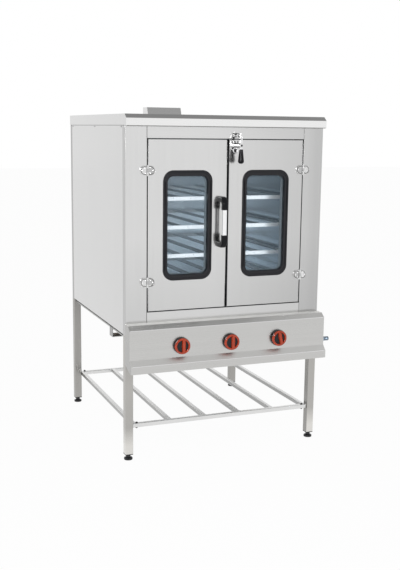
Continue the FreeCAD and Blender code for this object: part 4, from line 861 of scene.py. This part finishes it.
class OVEN_OT_doors(bpy.types.Operator):
    """Finish the doors, gaskets and panes, and add rolled edges in a brighter metal as a painted highlight,
    locking beads, and a dark strip as painted shade where the doors meet
    """
    bl_idname = "oven.doors"
    bl_label = "Doors"

    def execute(self, context):
        for side in SIDES:
            dress("steel_door", f"{side}_door_panel", f"{side}_door_liner")
            dress("gasket", f"{side}_window_gasket")
            dress("pane", f"{side}_window_glass")
            self.add_edge(side)
            self.add_bead(side)
        self.add_strip()
        return {"FINISHED"}

    def add_edge(self, side):
        """The rolled edge round a door's front, in a brighter metal as a painted highlight."""
        radius = hardware().edge_radius
        low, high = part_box(f"{side}_door_panel")
        left, right = low.x + radius, high.x - radius
        foot, top = low.z + radius, high.z - radius
        y = low.y + radius * 0.6
        edge = Piece(f"{side}_door_edge", "steel_edge", f"{side}_door")
        edge.swept([Vector((x, y, z)) for x, z in ((left, foot), (right, foot), (right, top), (left, top))],
                   radius)
        edge.done()

    def add_bead(self, side):
        """The locking bead in a window gasket."""
        sizes = hardware()
        low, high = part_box(f"{side}_window_gasket")
        middle = (low + high) / 2
        half = (high - low) / 2
        inset = sizes.bead_inset
        loop = rounded_loop(half.x - inset, half.z - inset, sizes.gasket_corner - inset)
        bead = Piece(f"{side}_gasket_bead", "rubber", f"{side}_door")
        bead.swept([Vector((middle.x + x, low.y, middle.z + z)) for x, z in loop], sizes.bead_radius)
        bead.done()

    def add_strip(self):
        """A dark rubber strip along the right door's edge where the doors meet, as painted shade in the
        gap.
        """
        radius = hardware().meeting_shade_radius
        low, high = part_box("right_door_panel")
        foot = Vector((low.x + radius / 2, low.y + radius / 2, low.z + radius))
        strip = Piece("meeting_strip", "rubber", "right_door")
        strip.rod(foot, foot + UP * (high.z - low.z - 2 * radius), radius)
        strip.done()


LEAF_SHEET = 2.5 * MM
LEAF_STEPS = 28
# Screws of a hinge leaf, across and up from its pin.
LEAF_SCREWS = ((12 * MM, 12 * MM), (12 * MM, -12 * MM), (26 * MM, 0))


class OVEN_OT_hinges(bpy.types.Operator):
    """Finish the butterfly hinges and add rims, dark rings as painted shade, screws and pin heads"""
    bl_idname = "oven.hinges"
    bl_label = "Hinges"

    def execute(self, context):
        dress("hinge_leaf", "left_hinge_leaves", "right_hinge_leaves")
        dress("hinge_plate", "hinge_frame_halves")
        lobe = hardware().lobe_radius
        for side, outward in SIDES.items():
            low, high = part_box(f"{side}_hinge_leaves")
            pin = joint_place(f"{side}_door_swing")
            heights = (low.z + lobe, high.z - lobe)
            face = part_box(f"{side}_door_panel")[0].y - LEAF_SHEET
            self.add_leaf_trim(f"{side}_hinge_door_trim", f"{side}_door", pin.x, face, heights, -outward)
            self.add_leaf_trim(f"{side}_hinge_frame_trim", "cabinet", pin.x, face, heights, outward)
            self.add_pin_heads(side, pin, heights)
        return {"FINISHED"}

    def add_pin_heads(self, side, pin, heights):
        """A low dome on both ends of each hinge pin."""
        sizes = hardware()
        radius = sizes.knuckle_radius
        heads = Piece(f"{side}_hinge_pin_heads", "chrome", "cabinet")
        for z in heights:
            for end in (UP, DOWN):
                heads.turned([(radius * 0.8, 0), (radius * 0.8, 0.8 * MM), (radius * 0.4, 2 * MM)],
                             Vector((pin.x, pin.y, z)) + end * sizes.lobe_radius, end)
        heads.done()

    def add_leaf_trim(self, name, body, pin_x, face, heights, outward):
        """A raised rim round each leaf's lobe, a dark ring inside it as painted shade, and its screws."""
        sizes = hardware()
        rim = sizes.lobe_rim
        lobe = sizes.lobe_reach - sizes.lobe_radius
        reach = sizes.lobe_radius - rim
        start = math.acos((sizes.knuckle_radius - lobe) / reach)
        angles = [start * (2 * step / LEAF_STEPS - 1) for step in range(LEAF_STEPS + 1)]
        trim = Piece(name, "hinge_plate", body)
        # The dark ring inside the rim is painted shade.
        shade_ring = Piece(f"{name}_groove", "sealant", body)
        for z in heights:
            for part, radius, thick in ((trim, reach, rim), (shade_ring, reach * 0.8, rim * 1.3)):
                path = [Vector((pin_x + outward * (lobe + radius * math.cos(angle)), face,
                                z + radius * math.sin(angle))) for angle in angles]
                part.swept(path, thick, closed=False)
            for across, up in LEAF_SCREWS:
                trim.screw(Vector((pin_x + outward * across, face, z + up)), FRONT,
                           sizes.screw_radius * 1.25, sizes.screw_height * 1.5)
        trim.done()
        shade_ring.done()


class OVEN_OT_handle(bpy.types.Operator):
    """Finish the pull handle and add a dark strip on its back as painted shade"""
    bl_idname = "oven.handle"
    bl_label = "Handle"

    def execute(self, context):
        dress("chrome", "handle_bar")
        dress("plastic", "handle_elbows")
        self.add_strip()
        return {"FINISHED"}

    def add_strip(self):
        """Two black rods side by side, along the back of the bar: painted shade on its back, seen in its
        reflection in the door.
        """
        low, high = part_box("handle_bar")
        middle = (low.x + high.x) / 2
        radius = (high.x - low.x) / 4 - 0.5 * MM
        y = high.y - radius + 1 * MM
        # The dark back is painted shade, seen in the bar's reflection in the door.
        strip = Piece("handle_back_strip", "plastic", "left_door")
        for x in (middle - radius, middle + radius):
            strip.rod(Vector((x, y, low.z)), Vector((x, y, high.z)), radius)
        strip.done()


BOSS_WASHER = 3 * MM
LEVER_SHADOW_LIFT = 4 * MM
HOOK_DEPTH = 12 * MM


class OVEN_OT_latch(bpy.types.Operator):
    """Finish the turn latch and add its ferrule, ridge, pin and slotted boss, and dark wire shapes that are
    painted shade
    """
    bl_idname = "oven.latch"
    bl_label = "Latch"

    def execute(self, context):
        dress("latch_plate", "latch_base", "latch_strike", "latch_lever")
        dress("plastic", "latch_grip")
        self.add_ferrule()
        self.add_boss()
        self.add_hook_and_shadow()
        self.add_lever_shadow()
        return {"FINISHED"}

    def add_ferrule(self):
        """Collar above the grip, a bright ridge along the lever, and the dark head of its pin."""
        radius = hardware().ferrule_radius
        low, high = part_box("latch_grip")
        top = Vector(((low.x + high.x) / 2, (low.y + high.y) / 2, high.z))
        ferrule = Piece("latch_ferrule", "chrome", "latch")
        ferrule.turned([(radius * 0.9, -1 * MM), (radius, 0), (radius, 4 * MM), (radius * 0.8, 6 * MM),
                        (radius * 0.8, 9 * MM), (radius * 0.5, 11 * MM)], top, UP)
        ferrule.done()
        axis = joint_place("latch_turn")
        low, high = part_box("latch_lever")
        ridge = Piece("latch_lever_ridge", "chrome", "latch")
        ridge.rod(Vector((axis.x, low.y, axis.z + radius)), Vector((axis.x, low.y, high.z - radius * 1.5)),
                  radius * 0.35)
        ridge.done()
        pin = Piece("latch_pin", "foot", "latch")
        pin.screw(Vector((axis.x, low.y, axis.z)), FRONT, radius * 0.6, 2 * MM)
        pin.done()

    def add_boss(self):
        """Slotted boss on the door at the foot of the latch plate, on a dark washer."""
        radius = hardware().boss_radius
        rise = hardware().boss_height
        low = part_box("latch_base")[0]
        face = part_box("right_door_panel")[0].y - BOSS_WASHER
        middle = Vector((low.x + radius * 0.5, face, low.z + radius * 0.65))
        boss = Piece("latch_boss", "chrome", "right_door")
        boss.turned([(radius * 0.92, 0), (radius * 0.92, rise * 0.6), (radius * 0.8, rise * 0.85),
                     (radius * 0.72, rise), (radius * 0.55, rise)], middle, FRONT)
        boss.done()
        dark = Piece("latch_boss_slot", "foot", "right_door")
        dark.turned([(radius * 1.05, 0), (radius * 1.05, rise * 0.12), (radius * 0.9, rise * 0.2)],
                    middle, FRONT)
        slant = (RIGHT + UP).normalized() * radius * 0.55
        slot = middle + FRONT * rise
        dark.rod(slot - slant, slot + slant, radius * 0.14)
        dark.done()

    def add_hook_and_shadow(self):
        """Bent wire hook on the strike, black as painted shade, and a dark wedge beside it as a painted
        shadow.
        """
        reach = hardware().loop_radius
        wire = hardware().loop_wire
        low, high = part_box("latch_strike")
        hook = Vector(((low.x + high.x) / 2 - reach * 0.75, low.y + HOOK_DEPTH, low.z + reach))
        shadow_wedge = Vector((low.x - wire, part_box("front_rails")[0].y, low.z + wire))
        # The hook is black as painted shade, and the wedge is a dark shape for the shadow under it.
        strike = Piece("strike_hook", "foot", "cabinet")
        strike.swept(arc(hook, reach, 150, -45), wire, closed=False)
        strike.turned([(wire * 2.6, 0, TRIANGLE), (wire * 2.6, 2 * MM, TRIANGLE),
                       (wire * 1.8, 3 * MM, TRIANGLE)], shadow_wedge, FRONT)
        strike.done()

    def add_lever_shadow(self):
        """Dark curved lines with an eye and a tail on the latch plate, as painted shadow of the lever's
        edge.
        """
        reach = hardware().loop_radius
        wire = hardware().loop_wire
        low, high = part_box("latch_base")
        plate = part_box("right_door_panel")[0].y - LEVER_SHADOW_LIFT
        bend = Vector((low.x - reach * 0.6, plate, high.z - wire))
        eye = Vector((low.x + reach * 0.55, plate, high.z - reach * 1.2))
        tail = Vector((low.x + reach * 1.2, plate, high.z - reach * 2.7))
        # These dark lines are painted shadow of the lever's edge.
        shadow_lines = Piece("latch_spring", "foot", "right_door")
        shadow_lines.swept(arc(bend, reach * 2.8, -5, -75), wire * 0.9, closed=False)
        shadow_lines.swept(arc(eye, reach * 0.45, 0, 345), wire * 0.6)
        shadow_lines.rod(tail, tail + Vector((reach * 1.35, 0, -reach * 0.7)), wire * 0.8)
        shadow_lines.done()


KNOB_BAND = 15 * MM
FLAT_WITHIN = 0.5 * MM


class OVEN_OT_panel(bpy.types.Operator):
    """Finish the control panel and its end caps, and add painted highlights along its folds"""
    bl_idname = "oven.control_panel"
    bl_label = "Control panel"

    def execute(self, context):
        dress("steel_panel", "control_panel", "panel_end_caps")
        self.add_folds()
        return {"FINISHED"}

    def add_folds(self):
        """A bright line along each fold of the panel's front, as a painted highlight."""
        radius = hardware().fold_radius
        panel = frame["nodes"]["control_panel"]
        corners = [panel.matrix_world @ vertex.co for vertex in panel.data.vertices]
        low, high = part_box("control_panel")
        knob_height = joint_place("knob_1_turn").z
        face = min(corner.y for corner in corners if abs(corner.z - knob_height) < KNOB_BAND)
        on_face = [corner.z for corner in corners if abs(corner.y - face) < FLAT_WITHIN]
        on_lip = [corner.z for corner in corners if corner.y < low.y + FLAT_WITHIN]
        folds = Piece("panel_folds", "steel_edge", "cabinet")
        for y, z in ((face, max(on_face)), (face, min(on_face)), (low.y, max(on_lip))):
            start = Vector((low.x + 2 * radius, y + radius, z))
            folds.rod(start, start + RIGHT * (high.x - low.x - 4 * radius), radius)
        folds.done()


class OVEN_OT_knobs(bpy.types.Operator):
    """Finish the gas knobs"""
    bl_idname = "oven.knobs"
    bl_label = "Knobs"

    def execute(self, context):
        for number in range(1, 4):
            dress("knob_red", f"knob_{number}")
            dress("rubber", f"knob_core_{number}")
            dress("chrome", f"valve_stem_{number}")
        return {"FINISHED"}


NUT_CHAMFER = 1.5 * MM
ROWS_PER_PITCH = 6
BORE_SHARE = 0.75
BORE_END = 0.3
STRAP_SHEET = 3 * MM
PIPE_INSET = 25 * MM
PIPE_GAP = 6 * MM


class OVEN_OT_gas_train(bpy.types.Operator):
    """Finish the gas train, make the inlet with a cut thread, and add the pilot pipes"""
    bl_idname = "oven.gas_train"
    bl_label = "Gas train"

    def execute(self, context):
        dress("zinc", "gas_inlet", "gas_manifold")
        dress("brass", "gas_valves", "burner_feeds")
        dress("steel_burner", "burner_tubes")
        self.add_inlet()
        self.add_pilot_pipes()
        return {"FINISHED"}

    def add_inlet(self):
        """Hexagon with chamfered corners, then a spigot with a real thread and an open bore."""
        nut = hardware().nut_length
        low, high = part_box("gas_inlet")
        axis = Vector((low.x, (low.y + high.y) / 2, (low.z + high.z) / 2))
        flats = (high.z - low.z) / 2
        inlet = Piece("gas_inlet_thread", "zinc", "cabinet")
        inlet.turned([(flats * 0.98, 0), (flats, NUT_CHAMFER * 0.5, HEXAGON),
                      (flats, nut - NUT_CHAMFER, HEXAGON), (flats * 0.96, nut)], axis, RIGHT)
        self.cut_thread(inlet, axis + RIGHT * nut, high.x - low.x - nut)
        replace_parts(inlet.done(), "gas_inlet")

    def thread(self, along, length):
        """How far the thread reaches at an angle, some way along a spigot; it runs out at the end."""
        sizes = hardware()
        turns = along / sizes.thread_pitch
        fade = min(1, (length - along) / sizes.thread_pitch)

        def reach(angle):
            share = (turns - angle / (2 * math.pi)) % 1
            return sizes.thread_radius - sizes.thread_depth * (1 - fade * abs(2 * share - 1))

        return reach

    def cut_thread(self, inlet, start, length):
        """A spigot whose radius follows the thread round and along, with a bore at its end."""
        sizes = hardware()
        rows = int(length / sizes.thread_pitch * ROWS_PER_PITCH)
        bore = section(sizes.thread_radius * BORE_SHARE)
        rows_along = [length * row / rows for row in range(rows + 1)]
        profile = [(along, self.thread(along, length)) for along in rows_along]
        profile += [(length, bore), (length * BORE_END, bore)]
        rings = [inlet.ring(start + RIGHT * along, RIGHT, reach, sizes.round_steps)
                 for along, reach in profile]
        inlet.skin(rings)
        inlet.mesh.faces.new(rings[-1])

    def add_pilot_pipes(self):
        """Dark pipes that lie on the front strap, from its ends to the outer burners."""
        radius = hardware().pipe_radius
        low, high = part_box("burner_straps")
        burners_low, burners_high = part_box("burner_tubes")
        y = low.y + PIPE_INSET
        z = low.z + STRAP_SHEET + radius
        pipes = Piece("pilot_pipes", "steel_burner", "cabinet")
        for left, right in ((low.x, burners_low.x), (burners_high.x, high.x)):
            pipes.rod(Vector((left + PIPE_GAP, y, z)), Vector((right - PIPE_GAP, y, z)), radius)
        pipes.done()


WELD_CORNER = 3 * MM
WELD_STEPS = 6
WELD_RIPPLE = 0.25


class OVEN_OT_stand(bpy.types.Operator):
    """Finish the legs, rails, straps, shelf, plugs and feet, and add shelf bolts and welds"""
    bl_idname = "oven.stand"
    bl_label = "Stand"

    def execute(self, context):
        dress("steel_leg", "legs")
        dress("steel_shelf", "shelf_bars", "burner_straps")
        dress("steel_rail", "base_rails")
        dress("foot", "leg_plugs", *[f"foot_{number}" for number in range(1, 5)])
        self.add_bolts()
        self.add_welds()
        return {"FINISHED"}

    def bar_ends(self, inset):
        """Places near the ends of the shelf's front and rear bars, across and back."""
        low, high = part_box("shelf_bars")
        half_bar = (high.z - low.z) / 2
        rows = (low.y + half_bar, high.y - half_bar)
        return [(x, y) for x in (low.x + inset, high.x - inset) for y in rows]

    def add_bolts(self):
        """A black bolt near each end of the shelf's front and rear bars."""
        sizes = hardware()
        head = (sizes.bolt_radius, sizes.bolt_height)
        low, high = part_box("shelf_bars")
        bolts = Piece("shelf_bolts", "foot", "cabinet")
        for x, y in self.bar_ends(sizes.bolt_inset):
            bolts.bolt(Vector((x, y, high.z)), UP, *head)
            bolts.bolt(Vector((x, y, low.z)), DOWN, *head)
        bolts.done()

    def add_welds(self):
        """A weld bead round each end of the shelf's front and rear bars, where they meet the legs."""
        radius = hardware().weld_radius
        low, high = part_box("shelf_bars")
        half_bar = (high.z - low.z) / 2
        middle = (low.z + high.z) / 2
        loop = rounded_loop(half_bar, half_bar, WELD_CORNER, WELD_STEPS)
        welds = Piece("shelf_welds", "steel_leg", "cabinet")
        for x, y in self.bar_ends(radius / 2):
            path = [Vector((x, y + across, middle + up)) for across, up in loop]
            welds.swept(path, radius, WELD_RIPPLE)
        welds.done()


FLOOR_COLOUR = (0.9, 0.9, 0.9, 1)
FLOOR_ROUGHNESS = 0.9
# Height of a direction at which the sky starts to grey, and where it is greyest.
SKY_GREYS = (0.3, 0.95)
CURTAIN_MIDDLE = Vector((-0.35, -0.85, 0.4)).normalized()
CURTAIN_EDGES = (0.86, 0.95)
KEY_SIZE = 1.3
KEY_PLACE = Vector((-2.2, -4.2, 2.4))
KEY_TARGET = Vector((0, 0, 0.9))
OVEN_LAMP_WIDE = 0.55
OVEN_LAMP_TALL = 0.7
OVEN_LAMP_INSET = 10 * MM
OVEN_LAMP_COLOUR = (0.86, 0.94, 1.0)
WHITE = (1, 1, 1)


def make_floor():
    """Pale floor that shows white and keeps a faint shadow."""
    settings = studio()
    half = settings.floor_size / 2
    corners = [(-half, -half, 0), (half, -half, 0), (half, half, 0), (-half, half, 0)]
    mesh = bpy.data.meshes.new("studio_floor")
    mesh.from_pydata(corners, [], [(0, 1, 2, 3)])
    surface = bpy.data.materials.new("studio_floor")
    surface.use_nodes = True
    tree = surface.node_tree
    shader = tree.nodes["Principled BSDF"]
    shader.inputs["Base Color"].default_value = FLOOR_COLOUR
    shader.inputs["Roughness"].default_value = FLOOR_ROUGHNESS
    path = tree.nodes.new("ShaderNodeLightPath")
    seen = link_math(tree, "MAXIMUM", path.outputs["Is Camera Ray"], path.outputs["Is Glossy Ray"])
    seen = link_math(tree, "MAXIMUM", seen, path.outputs["Is Transmission Ray"])
    share = link_math(tree, "MULTIPLY", seen, 1 - settings.floor_shade)
    glow = tree.nodes.new("ShaderNodeEmission")
    mix = tree.nodes.new("ShaderNodeMixShader")
    tree.links.new(share, mix.inputs["Fac"])
    tree.links.new(shader.outputs["BSDF"], mix.inputs[1])
    tree.links.new(glow.outputs["Emission"], mix.inputs[2])
    tree.links.new(mix.outputs["Shader"], tree.nodes["Material Output"].inputs["Surface"])
    mesh.materials.append(surface)
    show("studio_floor", mesh)


def make_sky():
    """White all round at eye level, greyer overhead, with a dark curtain above and behind the camera."""
    settings = studio()
    world = bpy.data.worlds.new("studio_sky")
    bpy.context.scene.world = world
    world.use_nodes = True
    tree = world.node_tree
    direction = tree.nodes.new("ShaderNodeTexCoord").outputs["Generated"]
    parts = tree.nodes.new("ShaderNodeSeparateXYZ")
    tree.links.new(direction, parts.inputs["Vector"])
    height = map_range(tree, parts.outputs["Z"], 1.0, settings.sky_high, *SKY_GREYS)
    toward = tree.nodes.new("ShaderNodeVectorMath")
    toward.operation = "DOT_PRODUCT"
    toward.inputs[1].default_value = CURTAIN_MIDDLE
    tree.links.new(direction, toward.inputs[0])
    curtain = map_range(tree, toward.outputs["Value"], 1.0, settings.curtain, *CURTAIN_EDGES)
    path = tree.nodes.new("ShaderNodeLightPath")
    matt = map_range(tree, path.outputs["Is Diffuse Ray"], 1.0, settings.sky_soft)
    light = link_math(tree, "MULTIPLY", link_math(tree, "MULTIPLY", height, curtain), matt)
    sky = tree.nodes["Background"]
    sky.inputs["Color"].default_value = (*WHITE, 1)
    tree.links.new(link_math(tree, "MAXIMUM", light, path.outputs["Is Camera Ray"]), sky.inputs["Strength"])


def make_lamp(name, power, wide, tall, place, target, colour=WHITE):
    """A soft oblong lamp that faces a point."""
    lamp = bpy.data.lights.new(name, "AREA")
    lamp.energy = power
    lamp.shape = "RECTANGLE"
    lamp.size = wide
    lamp.size_y = tall
    lamp.color = colour
    holder = show(name, lamp)
    holder.location = place
    holder.rotation_euler = (target - place).to_track_quat("-Z", "Y").to_euler()
    holder.visible_camera = False


def make_camera():
    """Camera at the photograph's viewing angle."""
    settings = studio()
    lens = bpy.data.cameras.new("studio_camera")
    lens.lens = settings.camera_lens
    camera = show("studio_camera", lens)
    camera.location = settings.camera_place
    camera.rotation_euler = settings.camera_turn
    bpy.context.scene.camera = camera


class OVEN_OT_stage(bpy.types.Operator):
    """Set the floor, the soft light and the camera"""
    bl_idname = "oven.stage"
    bl_label = "Stage"

    def execute(self, context):
        settings = studio()
        bpy.context.scene.view_settings.view_transform = "Standard"
        make_floor()
        make_sky()
        make_lamp("key_lamp", settings.key_power, KEY_SIZE, KEY_SIZE, KEY_PLACE, KEY_TARGET)
        low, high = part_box("chamber_side_walls")
        mouth = Vector(((low.x + high.x) / 2, low.y + OVEN_LAMP_INSET, (low.z + high.z) / 2))
        make_lamp("oven_lamp", settings.oven_power, OVEN_LAMP_WIDE, OVEN_LAMP_TALL, mouth, mouth + BACK,
                  OVEN_LAMP_COLOUR)
        make_camera()
        return {"FINISHED"}


STEPS = (OVEN_OT_shell, OVEN_OT_chamber, OVEN_OT_doors, OVEN_OT_hinges, OVEN_OT_handle, OVEN_OT_latch,
         OVEN_OT_panel, OVEN_OT_knobs, OVEN_OT_gas_train, OVEN_OT_stand, OVEN_OT_stage)


class OVEN_PT_sidebar(bpy.types.Panel):
    """Lists the oven's pieces, sizes and colours"""
    bl_idname = "OVEN_PT_sidebar"
    bl_label = "Pastry oven"
    bl_space_type = "VIEW_3D"
    bl_region_type = "UI"
    bl_category = "Oven"

    def draw(self, context):
        for step in STEPS:
            self.layout.operator(step.bl_idname, text=step.bl_label)
        for settings in (finishes(), hardware(), studio()):
            column = self.layout.column(align=True)
            for key in settings.__annotations__:
                column.prop(settings, key)


SETTINGS = {"oven_finishes": OvenFinishes, "oven_hardware": OvenHardware, "oven_studio": OvenStudio}
CLASSES = (*SETTINGS.values(), *STEPS, OVEN_PT_sidebar)


def register():
    for item in CLASSES:
        bpy.utils.register_class(item)
    for name, group in SETTINGS.items():
        setattr(bpy.types.Scene, name, PointerProperty(type=group))


def unregister():
    for name in SETTINGS:
        delattr(bpy.types.Scene, name)
    for item in reversed(CLASSES):
        bpy.utils.unregister_class(item)


def main():
    register()
    for step in STEPS:
        area, name = step.bl_idname.split(".")
        getattr(getattr(bpy.ops, area), name)()


if __name__ == "__main__":
    main()
